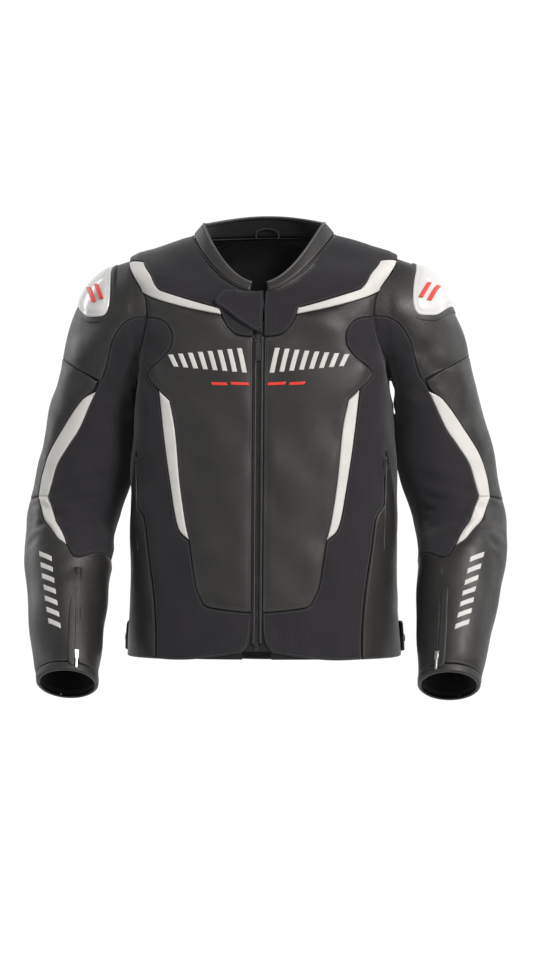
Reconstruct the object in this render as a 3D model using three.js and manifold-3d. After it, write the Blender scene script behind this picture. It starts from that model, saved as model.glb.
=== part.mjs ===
// Leather riding jacket as an assembly of separate panels, zips, armour and hard parts.
// Millimetres, +Z up, the front faces -Y and +X is the wearer's left.
// It is modelled with the hem at z = 0 and moved at the end so the hanger loop's top is the origin.
import * as THREE from "three";
import { mergeVertices } from "three/addons/utils/BufferGeometryUtils.js";
import Module from "manifold-3d";

const wasm = await Module();
wasm.setup();

// ---- driving sizes -------------------------------------------------------------------------------
const HEM_HALF_WIDTH = 178;       // half width of the jacket at the hem
const CHEST_HALF_WIDTH = 165;     // half width of the body under the arms
const FRONT_DEPTH = 130;          // front centre line ahead of the shoulder line at the hem
const FRONT_LEAN = 0.08;          // how much the front line falls back per mm of height
const SHOULDER_HEIGHT = 533;      // top of the armhole above the hem
const ARMHOLE = { radius: 84, y: 14, z: 450 };
const SLEEVE_SEAM_X = 168;        // plane where the sleeve leaves the armhole
const SLEEVE_REACH = 1.0;         // scales the forearm's length
const SHELL = 2.2;                // leather or textile panel with its backing
const SEAM = 1.2;                 // gap left between two panels at a seam
const LINING_DEPTH = 7.6;         // lining below the outer surface
const LINING_THICK = 1.0;
const ZIP_WINDOW = 5.5;           // half the opening between the two front edges
const ZIP_TOP = 424;              // height of the main slider's top when the jacket is closed
const ELBOW_FLEX = 31;            // gap left in front of the elbow on each side of the joint
const ELBOW_EXTEND = 14;          // the same behind it
const HANGER = { y: 52.5, z: 576 };

// ---- materials -----------------------------------------------------------------------------------
const paint = (color, roughness, metalness = 0) =>
  new THREE.MeshStandardMaterial({ color, roughness, metalness });
const LEATHER = paint(0x3a3937, 0.5);
const TEXTILE = paint(0x242226, 0.9);
const WHITE = paint(0xdedcd6, 0.5);
const HARD = paint(0xe6e5e2, 0.3);
const METAL = paint(0x9a9a98, 0.3, 1);
const FOAM = paint(0x50545a, 0.9);

// ---- small helpers -------------------------------------------------------------------------------
const DEG = Math.PI / 180;
const lerp = (a, b, u) => a + (b - a) * u;
const vec = (x, y, z) => new THREE.Vector3(x, y, z);

// Value at x of a curve given as [x, value] pairs, straight between them.
function track(pairs) {
  return (x) => {
    if (x <= pairs[0][0]) return pairs[0][1];
    for (let i = 1; i < pairs.length; i++) {
      if (x <= pairs[i][0]) {
        const [x0, y0] = pairs[i - 1];
        return lerp(y0, pairs[i][1], (x - x0) / (pairs[i][0] - x0));
      }
    }
    return pairs[pairs.length - 1][1];
  };
}

// Smooth row of a table at a fractional index.
function blendRows(rows, t) {
  const last = rows.length - 1;
  const i = Math.min(Math.max(Math.floor(t), 0), last - 1);
  const f = t - i;
  const pick = (k) => rows[Math.min(Math.max(k, 0), last)];
  const [p0, p1, p2, p3] = [pick(i - 1), pick(i), pick(i + 1), pick(i + 2)];
  return p1.map((_, k) => {
    const a = 2 * p1[k];
    const b = p2[k] - p0[k];
    const c = 2 * p0[k] - 5 * p1[k] + 4 * p2[k] - p3[k];
    const d = 3 * p1[k] - p0[k] - 3 * p2[k] + p3[k];
    return 0.5 * (a + b * f + c * f * f + d * f * f * f);
  });
}

function signedVolume(points, faces) {
  let v = 0;
  for (const [a, b, c] of faces) v += points[a].dot(vec(0, 0, 0).crossVectors(points[b], points[c]));
  return v / 6;
}

function toGeometry(points, faces) {
  const turned = signedVolume(points, faces) < 0 ? faces.map(([a, b, c]) => [a, c, b]) : faces;
  const g = new THREE.BufferGeometry();
  const flat = points.flatMap((p) => [p.x, p.y, p.z]);
  g.setAttribute("position", new THREE.Float32BufferAttribute(flat, 3));
  g.setIndex(turned.flat());
  return g;
}

// Closed shell over a grid: at(u, v, offset) gives a point, low and high are the two faces' offsets.
function shell(cols, rows, at, low, high, wrap = false) {
  const across = wrap ? cols : cols + 1;
  const points = [];
  const size = across * (rows + 1);
  for (const side of [0, 1]) {
    for (let j = 0; j <= rows; j++) {
      for (let i = 0; i < across; i++) {
        const u = i / cols;
        const v = j / rows;
        const off = side === 0 ? low : high;
        points.push(at(u, v, typeof off === "function" ? off(u, v) : off));
      }
    }
  }
  const id = (side, i, j) => side * size + j * across + (i % across);
  const faces = [];
  const quad = (a, b, c, d) => faces.push([a, b, c], [a, c, d]);
  for (let j = 0; j < rows; j++) {
    for (let i = 0; i < cols; i++) {
      quad(id(1, i, j), id(1, i + 1, j), id(1, i + 1, j + 1), id(1, i, j + 1));
      quad(id(0, i, j), id(0, i, j + 1), id(0, i + 1, j + 1), id(0, i + 1, j));
    }
    if (!wrap) {
      quad(id(0, 0, j), id(1, 0, j), id(1, 0, j + 1), id(0, 0, j + 1));
      quad(id(1, cols, j), id(0, cols, j), id(0, cols, j + 1), id(1, cols, j + 1));
    }
  }
  for (let i = 0; i < cols; i++) {
    quad(id(0, i, 0), id(0, i + 1, 0), id(1, i + 1, 0), id(1, i, 0));
    quad(id(1, i, rows), id(1, i + 1, rows), id(0, i + 1, rows), id(0, i, rows));
  }
  return toGeometry(points, faces);
}

function toSolid(geometry) {
  const g = geometry.clone();
  g.deleteAttribute("normal");
  g.deleteAttribute("uv");
  const m = mergeVertices(g, 1e-4);
  return new wasm.Manifold(new wasm.Mesh({
    numProp: 3,
    vertProperties: new Float32Array(m.attributes.position.array),
    triVerts: new Uint32Array(m.index.array),
  }));
}

// Back to a geometry, keeping the largest body when a cut leaves a sliver.
function fromSolid(solid) {
  const bodies = solid.decompose();
  const biggest = bodies.reduce((a, b) => (b.volume() > a.volume() ? b : a));
  const mesh = biggest.getMesh();
  const g = new THREE.BufferGeometry();
  g.setAttribute("position", new THREE.Float32BufferAttribute(mesh.vertProperties, 3));
  g.setIndex(Array.from(mesh.triVerts));
  return g;
}

const cut = (geometry, ...tools) =>
  fromSolid(tools.reduce((s, tool) => s.subtract(toSolid(tool)), toSolid(geometry)));
const join = (...parts) => fromSolid(parts.map(toSolid).reduce((a, b) => a.add(b)));

function box(x0, x1, y0, y1, z0, z1) {
  const g = new THREE.BoxGeometry(x1 - x0, y1 - y0, z1 - z0);
  return g.translate((x0 + x1) / 2, (y0 + y1) / 2, (z0 + z1) / 2);
}

function rodAlongX(radius, half, y, z, sides = 12) {
  const bar = new THREE.CylinderGeometry(radius, radius, 2 * half, sides);
  return bar.rotateZ(Math.PI / 2).translate(0, y, z);
}

function mirrored(geometry) {
  const g = geometry.clone();
  g.scale(-1, 1, 1);
  const index = g.index ? Array.from(g.index.array) : [...Array(g.attributes.position.count).keys()];
  for (let i = 0; i < index.length; i += 3) [index[i + 1], index[i + 2]] = [index[i + 2], index[i + 1]];
  g.setIndex(index);
  return g;
}

// ---- assembly ------------------------------------------------------------------------------------
const jacket = new THREE.Group();
jacket.name = "leather_riding_jacket";

function add(name, geometry, material) {
  const g = geometry.clone();
  g.translate(0, -HANGER.y, -HANGER.z);
  g.computeVertexNormals();
  const mesh = new THREE.Mesh(g, material);
  mesh.name = name;
  jacket.add(mesh);
}

// Adds a part made for the wearer's left side and its mirror image.
function addPair(name, geometry, material) {
  add(`${name}_left`, geometry, material);
  add(`${name}_right`, mirrored(geometry), material);
}

// ---- body surface --------------------------------------------------------------------------------
// Rings from hem to neck: half width, back depth, height at front, side and back, squareness.
const A = CHEST_HALF_WIDTH;
const S = SHOULDER_HEIGHT;
const BODY_RINGS = [
  [HEM_HALF_WIDTH, 118, 0, 0, -12, 2.3],
  [HEM_HALF_WIDTH - 8, 110, 70, 70, 62, 2.4],
  [A + 1, 105, 150, 150, 145, 2.5],
  [A + 3, 113, 240, 240, 240, 2.7],
  [A + 1, 126, 315, 318, 320, 3.2],
  [A, 133, 372, 380, 385, 3.8],
  [A, 131, 415, 440, 445, 4.0],
  [A + 5, 119, 448, 496, 500, 3.6],
  [A + 14, 103, 466, S, S - 1, 3.0],
  [A - 22, 88, 476, S + 14, S + 16, 2.5],
  [A - 53, 74, 483, S + 24, S + 27, 2.2],
  [A - 70, 62, 489, S + 30, S + 35, 2.1],
];
const NECK = BODY_RINGS.length - 1;
const frontY = (z) => -(FRONT_DEPTH - FRONT_LEAN * z);

// angle: 0 at the front centre, 90 at the wearer's left side, 180 at the back centre.
function bodyPoint(angle, t) {
  const [a, back, zf, zs, zb, n] = blendRows(BODY_RINGS, t);
  const s = Math.sin(angle * DEG);
  const c = Math.cos(angle * DEG);
  const r = (Math.abs(s) ** n + Math.abs(c) ** n) ** (-1 / n);
  const z = zs + ((c > 0 ? zf : zb) - zs) * c * c;
  const y = c > 0 ? frontY(zf) * r * c : -back * r * c;
  return vec(a * r * s, y, z);
}

function offsetPoint(point, at, u, v, du, dv, offset) {
  const along = at(u + du, v).sub(at(u - du, v));
  const up = at(u, v + dv).sub(at(u, v - dv));
  return point.addScaledVector(along.cross(up).normalize(), offset);
}

const onBody = (angle, t, offset = 0) =>
  offsetPoint(bodyPoint(angle, t), bodyPoint, angle, t, 0.5, 0.02, offset);

// Angle and ring position of the surface point seen at x, z from the front (or from the back).
function locate(x, z, fromBack = false) {
  let angle = fromBack ? 180 - x / 2.4 : x / 2.4;
  let t = track(BODY_RINGS.map((ring, i) => [ring[2], i]))(z);
  for (let k = 0; k < 40; k++) {
    const p = bodyPoint(angle, t);
    const pa = bodyPoint(angle + 0.1, t);
    const pt = bodyPoint(angle, t + 0.01);
    const [xa, za] = [(pa.x - p.x) / 0.1, (pa.z - p.z) / 0.1];
    const [xt, zt] = [(pt.x - p.x) / 0.01, (pt.z - p.z) / 0.01];
    const det = xa * zt - xt * za;
    if (Math.abs(det) < 1e-6) break;
    const [dx, dz] = [x - p.x, z - p.z];
    angle += Math.max(-8, Math.min(8, (dx * zt - dz * xt) / det));
    t += Math.max(-0.6, Math.min(0.6, (dz * xa - dx * za) / det));
    t = Math.max(-0.2, Math.min(NECK, t));
  }
  return { angle, t };
}

// Curve on the body from points seen from the front: gives the angle at each ring position.
function frontEdge(points) {
  const pairs = points.map(([x, z]) => locate(x, z)).map(({ angle, t }) => [t, angle]);
  return track(pairs.sort((p, q) => p[0] - q[0]));
}

const constant = (value) => () => value;

// Panel of the body between two side edges and two ring positions, with half a seam gap all round.
function bodyPanel({ from, to, low, high, cols, rows, depth = 0, thick = SHELL, rib = null }) {
  const start = typeof low === "function" ? low : constant(low);
  const end = typeof high === "function" ? high : constant(high);
  const gapAngle = SEAM / 2 / 2.2;
  const gapRing = SEAM / 2 / 55;
  const at = (u, v, offset) => {
    const t = lerp(start(u) + gapRing, end(u) - gapRing, v);
    const angle = lerp(from(t) + gapAngle, to(t) - gapAngle, u);
    return onBody(angle, t, offset);
  };
  const outer = rib ? (u, v) => -depth + rib(v) : -depth;
  return shell(cols, rows, at, -depth - thick, outer);
}

// ---- body panels ---------------------------------------------------------------------------------
// Cuts the round armhole through whatever lies in front of it on the wearer's left side.
const armholeTool = (clearance) =>
  new THREE.CylinderGeometry(ARMHOLE.radius + clearance, ARMHOLE.radius + clearance, 160, 30)
    .rotateZ(Math.PI / 2).translate(120 + 80, ARMHOLE.y, ARMHOLE.z);
const ARMHOLE_CUT = armholeTool(1.3);

const zipEdge = frontEdge([0, 60, 120, 180, 240, 300, 360, 400, 440, 470, 488].map((z) => [ZIP_WINDOW, z]));
const leatherEdge = frontEdge([
  [74, 66], [84, 95], [95, 160], [107, 232], [114, 305], [128, 345], [134, 362],
  [120, 425], [124, 440], [140, 446], [149, 452],
]);
const stripeOuter = frontEdge([
  [90, 150], [105, 172], [118, 240], [128, 305], [140, 352], [141, 361],
]);
const SIDE_TOP = 3.4;       // ring position where the side panels come to a point
const BACK_EDGE = 116;      // angle where the back panels start
const sideFront = track([[0, 58], [1, 59], [2, 60], [SIDE_TOP, 59]]);
const sideBack = track([[0, 94], [1, 84], [2, 88], [2.6, 76], [SIDE_TOP, 61.5]]);
const chestLow = 6.55;      // ring position of the lower edge of the chest stripe
const chestHigh = 7.05;

// Front leather between the zip and the side stripe, up to the chest stripe.
const frontLeather = bodyPanel({
  from: zipEdge, to: leatherEdge, low: locate(40, 60).t, high: chestLow, cols: 6, rows: 10,
});
addPair("front_leather", cut(frontLeather, ARMHOLE_CUT), LEATHER);

// Tapered white insert beside the front leather.
const stripeTop = locate(132, 354).t;
const stripeTip = locate(93, 160).t;
addPair("side_stripe", bodyPanel({
  from: leatherEdge, to: stripeOuter, low: stripeTip, high: stripeTop, cols: 2, rows: 6,
}), WHITE);

// Stretch textile from the stripe round to the side panel, and across the front above the hem.
const bandTop = locate(40, 60).t;
const flankLow = bodyPanel({
  from: zipEdge, to: sideFront, low: 0, high: bandTop, cols: 8, rows: 2,
});
const flankMiddle = bodyPanel({
  from: leatherEdge, to: sideFront, low: bandTop - 0.04, high: SIDE_TOP + 0.06, cols: 5, rows: 8,
});
const flankRear = bodyPanel({
  from: sideBack, to: constant(BACK_EDGE), low: 0, high: SIDE_TOP + 0.06, cols: 5, rows: 8,
});
const flankHigh = bodyPanel({
  from: leatherEdge, to: constant(BACK_EDGE), low: SIDE_TOP, high: 5.1, cols: 7, rows: 5,
});
const stripeSeat = bodyPanel({
  from: (t) => leatherEdge(t) - 2, to: (t) => stripeOuter(t) + 0.5, low: stripeTip - 0.02,
  high: stripeTop + 0.02, cols: 2, rows: 8, depth: -2, thick: 8,
});

// Straight run of the side pocket zip on the flank.
const POCKET = { angle: 59, top: 3.3, bottom: 1.9, sink: 0.6 };
const pocketTop = bodyPoint(POCKET.angle, POCKET.top);
const pocketBottom = bodyPoint(POCKET.angle, POCKET.bottom);

// Frame of a zip: X across it, Y out of the surface, Z up along it, origin at its top end.
function zipFrame(top, bottom, outward) {
  const up = top.clone().sub(bottom).normalize();
  const out = outward.clone().addScaledVector(up, -outward.dot(up)).normalize();
  const m = new THREE.Matrix4().makeBasis(out.clone().cross(up), out, up);
  return { place: m.setPosition(top), length: top.distanceTo(bottom) };
}

function normalAt(at, u, v, du, dv) {
  return offsetPoint(vec(0, 0, 0), at, u, v, du, dv, 1);
}

const pocket = zipFrame(pocketTop, pocketBottom,
  normalAt(bodyPoint, POCKET.angle, (POCKET.top + POCKET.bottom) / 2, 0.5, 0.02));
const slotTool = (length, extra) => box(-4, 4, -8, 8, -length, extra);
const pocketSlot = slotTool(pocket.length, 2).applyMatrix4(pocket.place);
const flank = join(flankLow, flankMiddle, flankRear, flankHigh);
addPair("flank_textile", cut(flank, ARMHOLE_CUT, pocketSlot, stripeSeat), TEXTILE);

// Leather lens at each side, pointed at the top.
const sideLens = bodyPanel({
  from: (t) => sideFront(t) + 0.2, to: (t) => sideBack(t) - 0.2, low: 0, high: SIDE_TOP,
  cols: 4, rows: 8,
});
addPair("side_panel", cut(sideLens, pocketSlot), LEATHER);

// White chest stripe running down from the shoulder towards the neck flap.
const stripeTipAngle = locate(58, 457).angle;
const chestStripe = bodyPanel({
  from: constant(stripeTipAngle), to: constant(82),
  low: (u) => lerp(6.8, chestLow, Math.min(1, u * 2.2)),
  high: (u) => lerp(6.95, chestHigh, Math.min(1, u * 2.2)), cols: 8, rows: 1,
});
addPair("chest_stripe", cut(chestStripe, ARMHOLE_CUT), WHITE);

// Textile yoke from the chest stripe to the collar seam and over the shoulder.
const yoke = bodyPanel({
  from: zipEdge, to: constant(94), low: (u) => (u < 0.2 ? lerp(chestLow, chestHigh, 5 * u) : chestHigh),
  high: NECK - 0.18, cols: 10, rows: 6,
});
addPair("yoke", cut(yoke, ARMHOLE_CUT), TEXTILE);

// Back: leather over the shoulder blades, ribbed stretch insert above the waist, leather below it.
const around = (angle) => constant(angle);
const bothArmholes = [ARMHOLE_CUT, mirrored(ARMHOLE_CUT)];
const backUpper = bodyPanel({ from: around(94), to: around(266), low: 5.1, high: NECK, cols: 18, rows: 7 });
add("back_upper", cut(backUpper, ...bothArmholes), LEATHER);
const backMiddle = bodyPanel({
  from: around(BACK_EDGE), to: around(360 - BACK_EDGE), low: SIDE_TOP, high: 5.1, cols: 12, rows: 3,
});
add("back_middle", cut(backMiddle, ...bothArmholes), LEATHER);
const ribs = (v) => 1.4 * Math.abs(Math.sin(v * 6 * Math.PI));
add("back_stretch", bodyPanel({
  from: around(BACK_EDGE), to: around(360 - BACK_EDGE), low: 2.15, high: SIDE_TOP,
  cols: 10, rows: 12, rib: ribs,
}), TEXTILE);
add("back_lower", bodyPanel({
  from: around(BACK_EDGE), to: around(360 - BACK_EDGE), low: 0.16, high: 2.15, cols: 12, rows: 4,
}), LEATHER);
add("hem_back", bodyPanel({
  from: around(BACK_EDGE), to: around(360 - BACK_EDGE), low: -0.02, high: 0.16,
  cols: 12, rows: 1, thick: 3.2,
}), LEATHER);

// Lining inside the whole body, open at the front.
const lining = bodyPanel({
  from: around(12), to: around(348), low: 0.2, high: NECK - 0.4, cols: 22, rows: 9,
  depth: LINING_DEPTH, thick: LINING_THICK,
});
add("body_lining", cut(lining, armholeTool(2.5), mirrored(armholeTool(2.5))), TEXTILE);

// ---- collar --------------------------------------------------------------------------------------
const COLLAR_TOP = { half: 81, back: 50, front: -83, zf: 500, zs: S + 46, zb: S + 59 };
function collarPoint(angle, v) {
  const low = onBody(angle, NECK, 0);
  const s = Math.sin(angle * DEG);
  const c = Math.cos(angle * DEG);
  const high = vec(
    COLLAR_TOP.half * s,
    c > 0 ? COLLAR_TOP.front * c : -COLLAR_TOP.back * c,
    COLLAR_TOP.zs + ((c > 0 ? COLLAR_TOP.zf : COLLAR_TOP.zb) - COLLAR_TOP.zs) * c * c,
  );
  return low.lerp(high, v);
}
const collarAt = (u, v, offset) => {
  const angle = lerp(6.5, 353.5, u);
  const height = lerp(0.07, 1, v);
  return offsetPoint(collarPoint(angle, height), collarPoint, angle, height, 0.5, 0.02, offset);
};
add("collar", shell(30, 2, collarAt, -3, 0), LEATHER);

// Loop inside the back of the neck that the jacket hangs from.
const loopPath = new THREE.CatmullRomCurve3([
  vec(-15, HANGER.y, 562), vec(-14, HANGER.y, 571), vec(0, HANGER.y, HANGER.z - 0.8),
  vec(14, HANGER.y, 571), vec(15, HANGER.y, 562),
]);
const flat = (pairs) => new THREE.Shape(pairs.map(([x, y]) => new THREE.Vector2(x, y)));
const loopShape = flat([[-0.8, -2], [0.8, -2], [0.8, 2], [-0.8, 2]]);
const loopRun = { steps: 12, extrudePath: loopPath, bevelEnabled: false };
add("hanger_loop", new THREE.ExtrudeGeometry(loopShape, loopRun), TEXTILE);

// ---- neck flap -----------------------------------------------------------------------------------
const FLAP = { fold: 6, reach: -52, top: 486 };
const flapLow = track([[FLAP.reach, 471], [-9, 437], [FLAP.fold, 431.5]]);
const flapHigh = track([[FLAP.reach, 474], [-44, FLAP.top], [FLAP.fold, FLAP.top]]);
const flapAt = (u, v, offset) => {
  const x = lerp(FLAP.reach, FLAP.fold, u);
  const { angle, t } = locate(x, lerp(flapLow(x), flapHigh(x), v));
  return onBody(angle, t, offset);
};
add("neck_flap", shell(7, 3, flapAt, 1.1, 3.1), TEXTILE);

// ---- zips ----------------------------------------------------------------------------------------
// Everything here is in a zip's own frame: X across, Y outward, Z up, top at z = 0.
function halfTape(length) {
  return join(box(0.8, 16, -4.4, -3.6, -length, 0), box(0.8, 3, -5.2, -2.8, -length, 0));
}

function mainSlider() {
  const ears = [-2.5, 2.5].map((x) => box(x - 0.6, x + 0.6, -1, 1.8, -5, -1));
  const body = join(
    box(-4.2, 4.2, -2.4, -0.9, -14, 0), box(-4.2, 4.2, -7.2, -5.6, -14, 0),
    box(-0.45, 0.45, -6, -2, -7, -1), ...ears,
  );
  return cut(body, rodAlongX(0.85, 5, 0.6, -3));
}

function mainPuller() {
  return join(
    rodAlongX(0.5, 3.3, 0.6, -3), box(-1.5, 1.5, 0, 1.2, -9, -2.4), box(-3.6, 3.6, 0, 1.2, -34, -8.6),
  );
}

function closedTape(length) {
  return join(box(-8, 8, -4.4, -3.6, -length, 0), box(-2, 2, -5.2, -2.8, -length, 0));
}

function smallSlider() {
  return join(
    box(-3, 3, -2.4, -1, -9, 0), box(2.3, 3, -3.3, -2.2, -9, 0), box(-3, -2.3, -3.3, -2.2, -9, 0),
    box(-1.4, 1.4, -1.2, 1.3, -6, -3), box(-2.6, 2.6, 0.3, 1.3, -26, -4),
  );
}

const frontTop = vec(0, frontY(440), 440);
const frontBottom = vec(0, frontY(12), 12);
const front = zipFrame(frontTop, frontBottom, vec(0, -1, 0));
const slideStart = new THREE.Matrix4().makeTranslation(0, 0, ZIP_TOP - 440);
const sliderPlace = front.place.clone().multiply(slideStart);
const tapeLeft = halfTape(front.length).applyMatrix4(front.place);
add("zip_tape_left", tapeLeft, METAL);
add("zip_tape_right", mirrored(tapeLeft), METAL);
add("zip_slider", mainSlider().applyMatrix4(sliderPlace), METAL);
add("zip_puller", mainPuller().applyMatrix4(sliderPlace), METAL);
const pocketTape = closedTape(pocket.length + 6).translate(0, -POCKET.sink, 3);
addPair("pocket_zip", pocketTape.applyMatrix4(pocket.place), METAL);
addPair("pocket_slider", smallSlider().translate(0, -POCKET.sink, 0).applyMatrix4(pocket.place), METAL);

// ---- waist adjusters -----------------------------------------------------------------------------
const tabAt = (u, v, offset) => onBody(lerp(90, 116, u), lerp(0.12, 0.7, v), offset);
addPair("waist_tab", shell(6, 1, tabAt, 1.4, 4.4), TEXTILE);

// ---- inside parts --------------------------------------------------------------------------------
const insideHem = bodyPoint(180, 0.4).y - LINING_DEPTH - LINING_THICK;
add("trouser_zip", box(-60, 60, insideHem - 9.6, insideHem - 7.6, 10, 34), METAL);

const padOutline = [[-62, 0], [62, 0], [74, 150], [60, 205], [-60, 205], [-74, 150]];
const backPad = new THREE.ExtrudeGeometry(flat(padOutline), { depth: 12, bevelEnabled: false });
const padLean = Math.atan2(bodyPoint(180, 4.6).y - bodyPoint(180, 2.6).y, 150);
backPad.rotateX(Math.PI / 2 - padLean).translate(0, bodyPoint(180, 2.6).y - LINING_DEPTH - 11, 200);
add("back_protector", backPad, FOAM);

// ---- sleeves (made for the wearer's left) ---------------------------------------------------------
// Rings: centre x, y, z, then the vector to the outer side and the vector to the front.
const lean = Math.atan2(130, 202);
const forward = (r, angle) => [0, -r * Math.cos(angle), r * Math.sin(angle)];
function ringFromEdges([xo, zo], [xi, zi], y, depth) {
  return [(xo + xi) / 2, y, (zo + zi) / 2, (xo - xi) / 2, 0, (zo - zi) / 2, 0, -depth, 0];
}
const R = ARMHOLE.radius;
const X0 = SLEEVE_SEAM_X;
const ELBOW = vec(263, 15, 172);
const FOREARM_TOP = [263, -22, 115];
const FOREARM = [-14, -95, -148].map((d) => d * SLEEVE_REACH);
const SLEEVE_RINGS = [
  [X0 - 20, ARMHOLE.y, ARMHOLE.z, 0, 0, R, 0, -R, 0],
  [X0, ARMHOLE.y, ARMHOLE.z, 0, 0, R, 0, -R, 0],
  ringFromEdges([203, 521], [X0 + 3, 358], ARMHOLE.y, R - 2),
  ringFromEdges([236, 494], [X0 + 5, 348], ARMHOLE.y, R - 5),
  ringFromEdges([256, 452], [X0 + 6, 337], 14, 74),
  ringFromEdges([272, 405], [X0 + 7, 320], 14, 68),
  ringFromEdges([284, 355], [X0 + 6, 302], 15, 64),
  ringFromEdges([300, 290], [X0 + 7, 270], 16, 62),
  ringFromEdges([313, 232], [X0 + 15, 225], 18, 61),
  [ELBOW.x, ELBOW.y, ELBOW.z, 61, 0, 0, ...forward(61, lean / 2)],
  [...FOREARM_TOP, 57, 0, 0, ...forward(56, lean)],
  [...FOREARM_TOP.map((c, i) => c + FOREARM[i]), 39.5, 0, 0, ...forward(39, lean)],
];
const ELBOW_RING = 9;
const WRIST_RING = 11;

// angle: 0 at the outer side, 90 at the front, 180 at the inner side.
function sleevePoint(angle, w) {
  const last = SLEEVE_RINGS[10];
  const straight = SLEEVE_RINGS[10].map((a, k) => lerp(a, SLEEVE_RINGS[11][k], w - 10));
  const ring = w >= 10 ? straight : blendRows([...SLEEVE_RINGS.slice(0, 10), last, straight], w);
  const c = Math.cos(angle * DEG);
  const s = Math.sin(angle * DEG);
  return vec(ring[0] + ring[3] * c + ring[6] * s, ring[1] + ring[4] * c + ring[7] * s,
    ring[2] + ring[5] * c + ring[8] * s);
}
const onSleeve = (angle, w, offset = 0) =>
  offsetPoint(sleevePoint(angle, w), sleevePoint, angle, w, 0.5, w > 1.05 ? 0.02 : 0.002, offset);

// Height of the wedge left open at the elbow, by angle, in ring positions.
const wedge = (angle) => {
  const s = Math.sin(angle * DEG);
  return 3 + (s > 0 ? ELBOW_FLEX : -ELBOW_EXTEND) * s;
};
const upperEnd = (angle) => ELBOW_RING - wedge(angle) / 54;
const lowerStart = (angle) => ELBOW_RING + wedge(angle) / 68;

// Edges of the sleeve's textile and stripe, as angle by ring position.
const textileFront = track([
  [0, 86], [2, 86], [2.6, 91], [4.3, 104], [5, 92], [5.5, 82], [6, 79], [7, 52], [9, 54],
]);
const stripeEdge = track([[5.4, 76], [5.6, 65], [7, 24], [8, 28], [9, 40]]);
const textileBack = constant(222);

function sleevePanel({ from, to, low, high, cols, rows, inner = -SHELL, outer = 0 }) {
  const gap = SEAM / 2 / 1.1;
  const at = (u, v, offset) => {
    const guess = lerp(from(high(0)), to(high(0)), u);
    const w = lerp(low(guess), high(guess), v);
    const angle = lerp(from(w) + gap, to(w) - gap, u);
    return onSleeve(angle, w, offset);
  };
  return shell(cols, rows, at, inner, outer);
}

const armStart = constant(0.1);
const sleeveLeather = sleevePanel({
  from: (w) => textileBack(w) - 360, to: textileFront, low: armStart, high: upperEnd, cols: 12, rows: 11,
});
const stripeSlot = sleevePanel({
  from: (w) => stripeEdge(w) - 1.2, to: (w) => textileFront(w) + 1, low: constant(5.46), high: constant(9),
  cols: 2, rows: 9, inner: -5, outer: 4,
});
addPair("sleeve_leather", cut(sleeveLeather, stripeSlot), LEATHER);
const sleeveTextile = sleevePanel({
  from: textileFront, to: textileBack, low: armStart, high: upperEnd, cols: 7, rows: 11,
});
addPair("sleeve_textile", cut(sleeveTextile, stripeSlot), TEXTILE);
addPair("sleeve_stripe", sleevePanel({
  from: stripeEdge, to: textileFront, low: constant(5.5), high: upperEnd, cols: 2, rows: 8,
}), WHITE);

// Ribbed stretch gusset that closes the elbow's wedge.
const gussetAt = (u, v, offset) => {
  const angle = 360 * u;
  const margin = 0.04;
  const w = lerp(upperEnd(angle) + margin, lowerStart(angle) - margin, v);
  return onSleeve(angle, w, offset);
};
addPair("elbow_gusset", shell(20, 3, gussetAt, -SHELL, 0, true), TEXTILE);

const CUFF_START = WRIST_RING - 0.08;
const CUFF_ZIP = { angle: 113, top: 10.15, sink: 1 };
const cuffTop = sleevePoint(CUFF_ZIP.angle, CUFF_ZIP.top);
const cuffBottom = sleevePoint(CUFF_ZIP.angle, WRIST_RING);
const cuffOut = normalAt(sleevePoint, CUFF_ZIP.angle, 10.5, 0.5, 0.02);
const cuffZip = zipFrame(cuffTop, cuffBottom, cuffOut);
const cuffSlot = slotTool(cuffZip.length + 20, 2).applyMatrix4(cuffZip.place);
const forearmAt = (u, v, offset) => {
  const angle = 360 * u;
  return onSleeve(angle, lerp(lowerStart(angle) + 0.01, CUFF_START, v), offset);
};
addPair("forearm", cut(shell(20, 4, forearmAt, -SHELL, 0, true), cuffSlot), LEATHER);
const cuffAt = (u, v, offset) => onSleeve(360 * u, lerp(CUFF_START + 0.01, WRIST_RING, v), offset);
addPair("cuff", cut(shell(20, 1, cuffAt, -2.4, 0, true), cuffSlot), LEATHER);
const cuffTape = closedTape(cuffZip.length + 1).translate(0, -CUFF_ZIP.sink, 3);
addPair("cuff_zip", cuffTape.applyMatrix4(cuffZip.place), METAL);
const cuffSlider = smallSlider().translate(0, -CUFF_ZIP.sink, 30 - cuffZip.length);
addPair("cuff_slider", cuffSlider.applyMatrix4(cuffZip.place), METAL);

// White insert below the elbow, laid on the forearm.
const forearmStripeAt = (u, v, offset) => {
  const w = lerp(9.62, 10.05, v);
  const angle = lerp(lerp(38, 72, v), lerp(66, 78, v), u);
  return onSleeve(angle, w, offset);
};
addPair("forearm_stripe", shell(3, 3, forearmStripeAt, 0.7, 1.9), WHITE);

// Hard cup outside the shoulder, thinner towards its rim.
const cupAt = (u, v, offset) => onSleeve(lerp(-46, 48, u), lerp(2.0, 3.9, v), offset);
const cupRim = (u, v) => 1.2 + 3.4 * Math.min(1, 5 * Math.min(u, 1 - u, v, 1 - v));
addPair("shoulder_slider", shell(9, 7, cupAt, 0.8, cupRim), HARD);

// Armour cups inside the shoulder and behind the elbow.
const shoulderPadAt = (u, v, offset) => onSleeve(lerp(-52, 52, u), lerp(1.9, 4.3, v), offset);
addPair("shoulder_armour", shell(8, 5, shoulderPadAt, -14, -6), FOAM);
const elbowPadAt = (u, v, offset) => onSleeve(lerp(215, 325, u), lerp(9.42, 10.45, v), offset);
addPair("elbow_armour", shell(7, 4, elbowPadAt, -SHELL - 7.8, -SHELL - 1.4), FOAM);

export default jacket;
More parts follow.
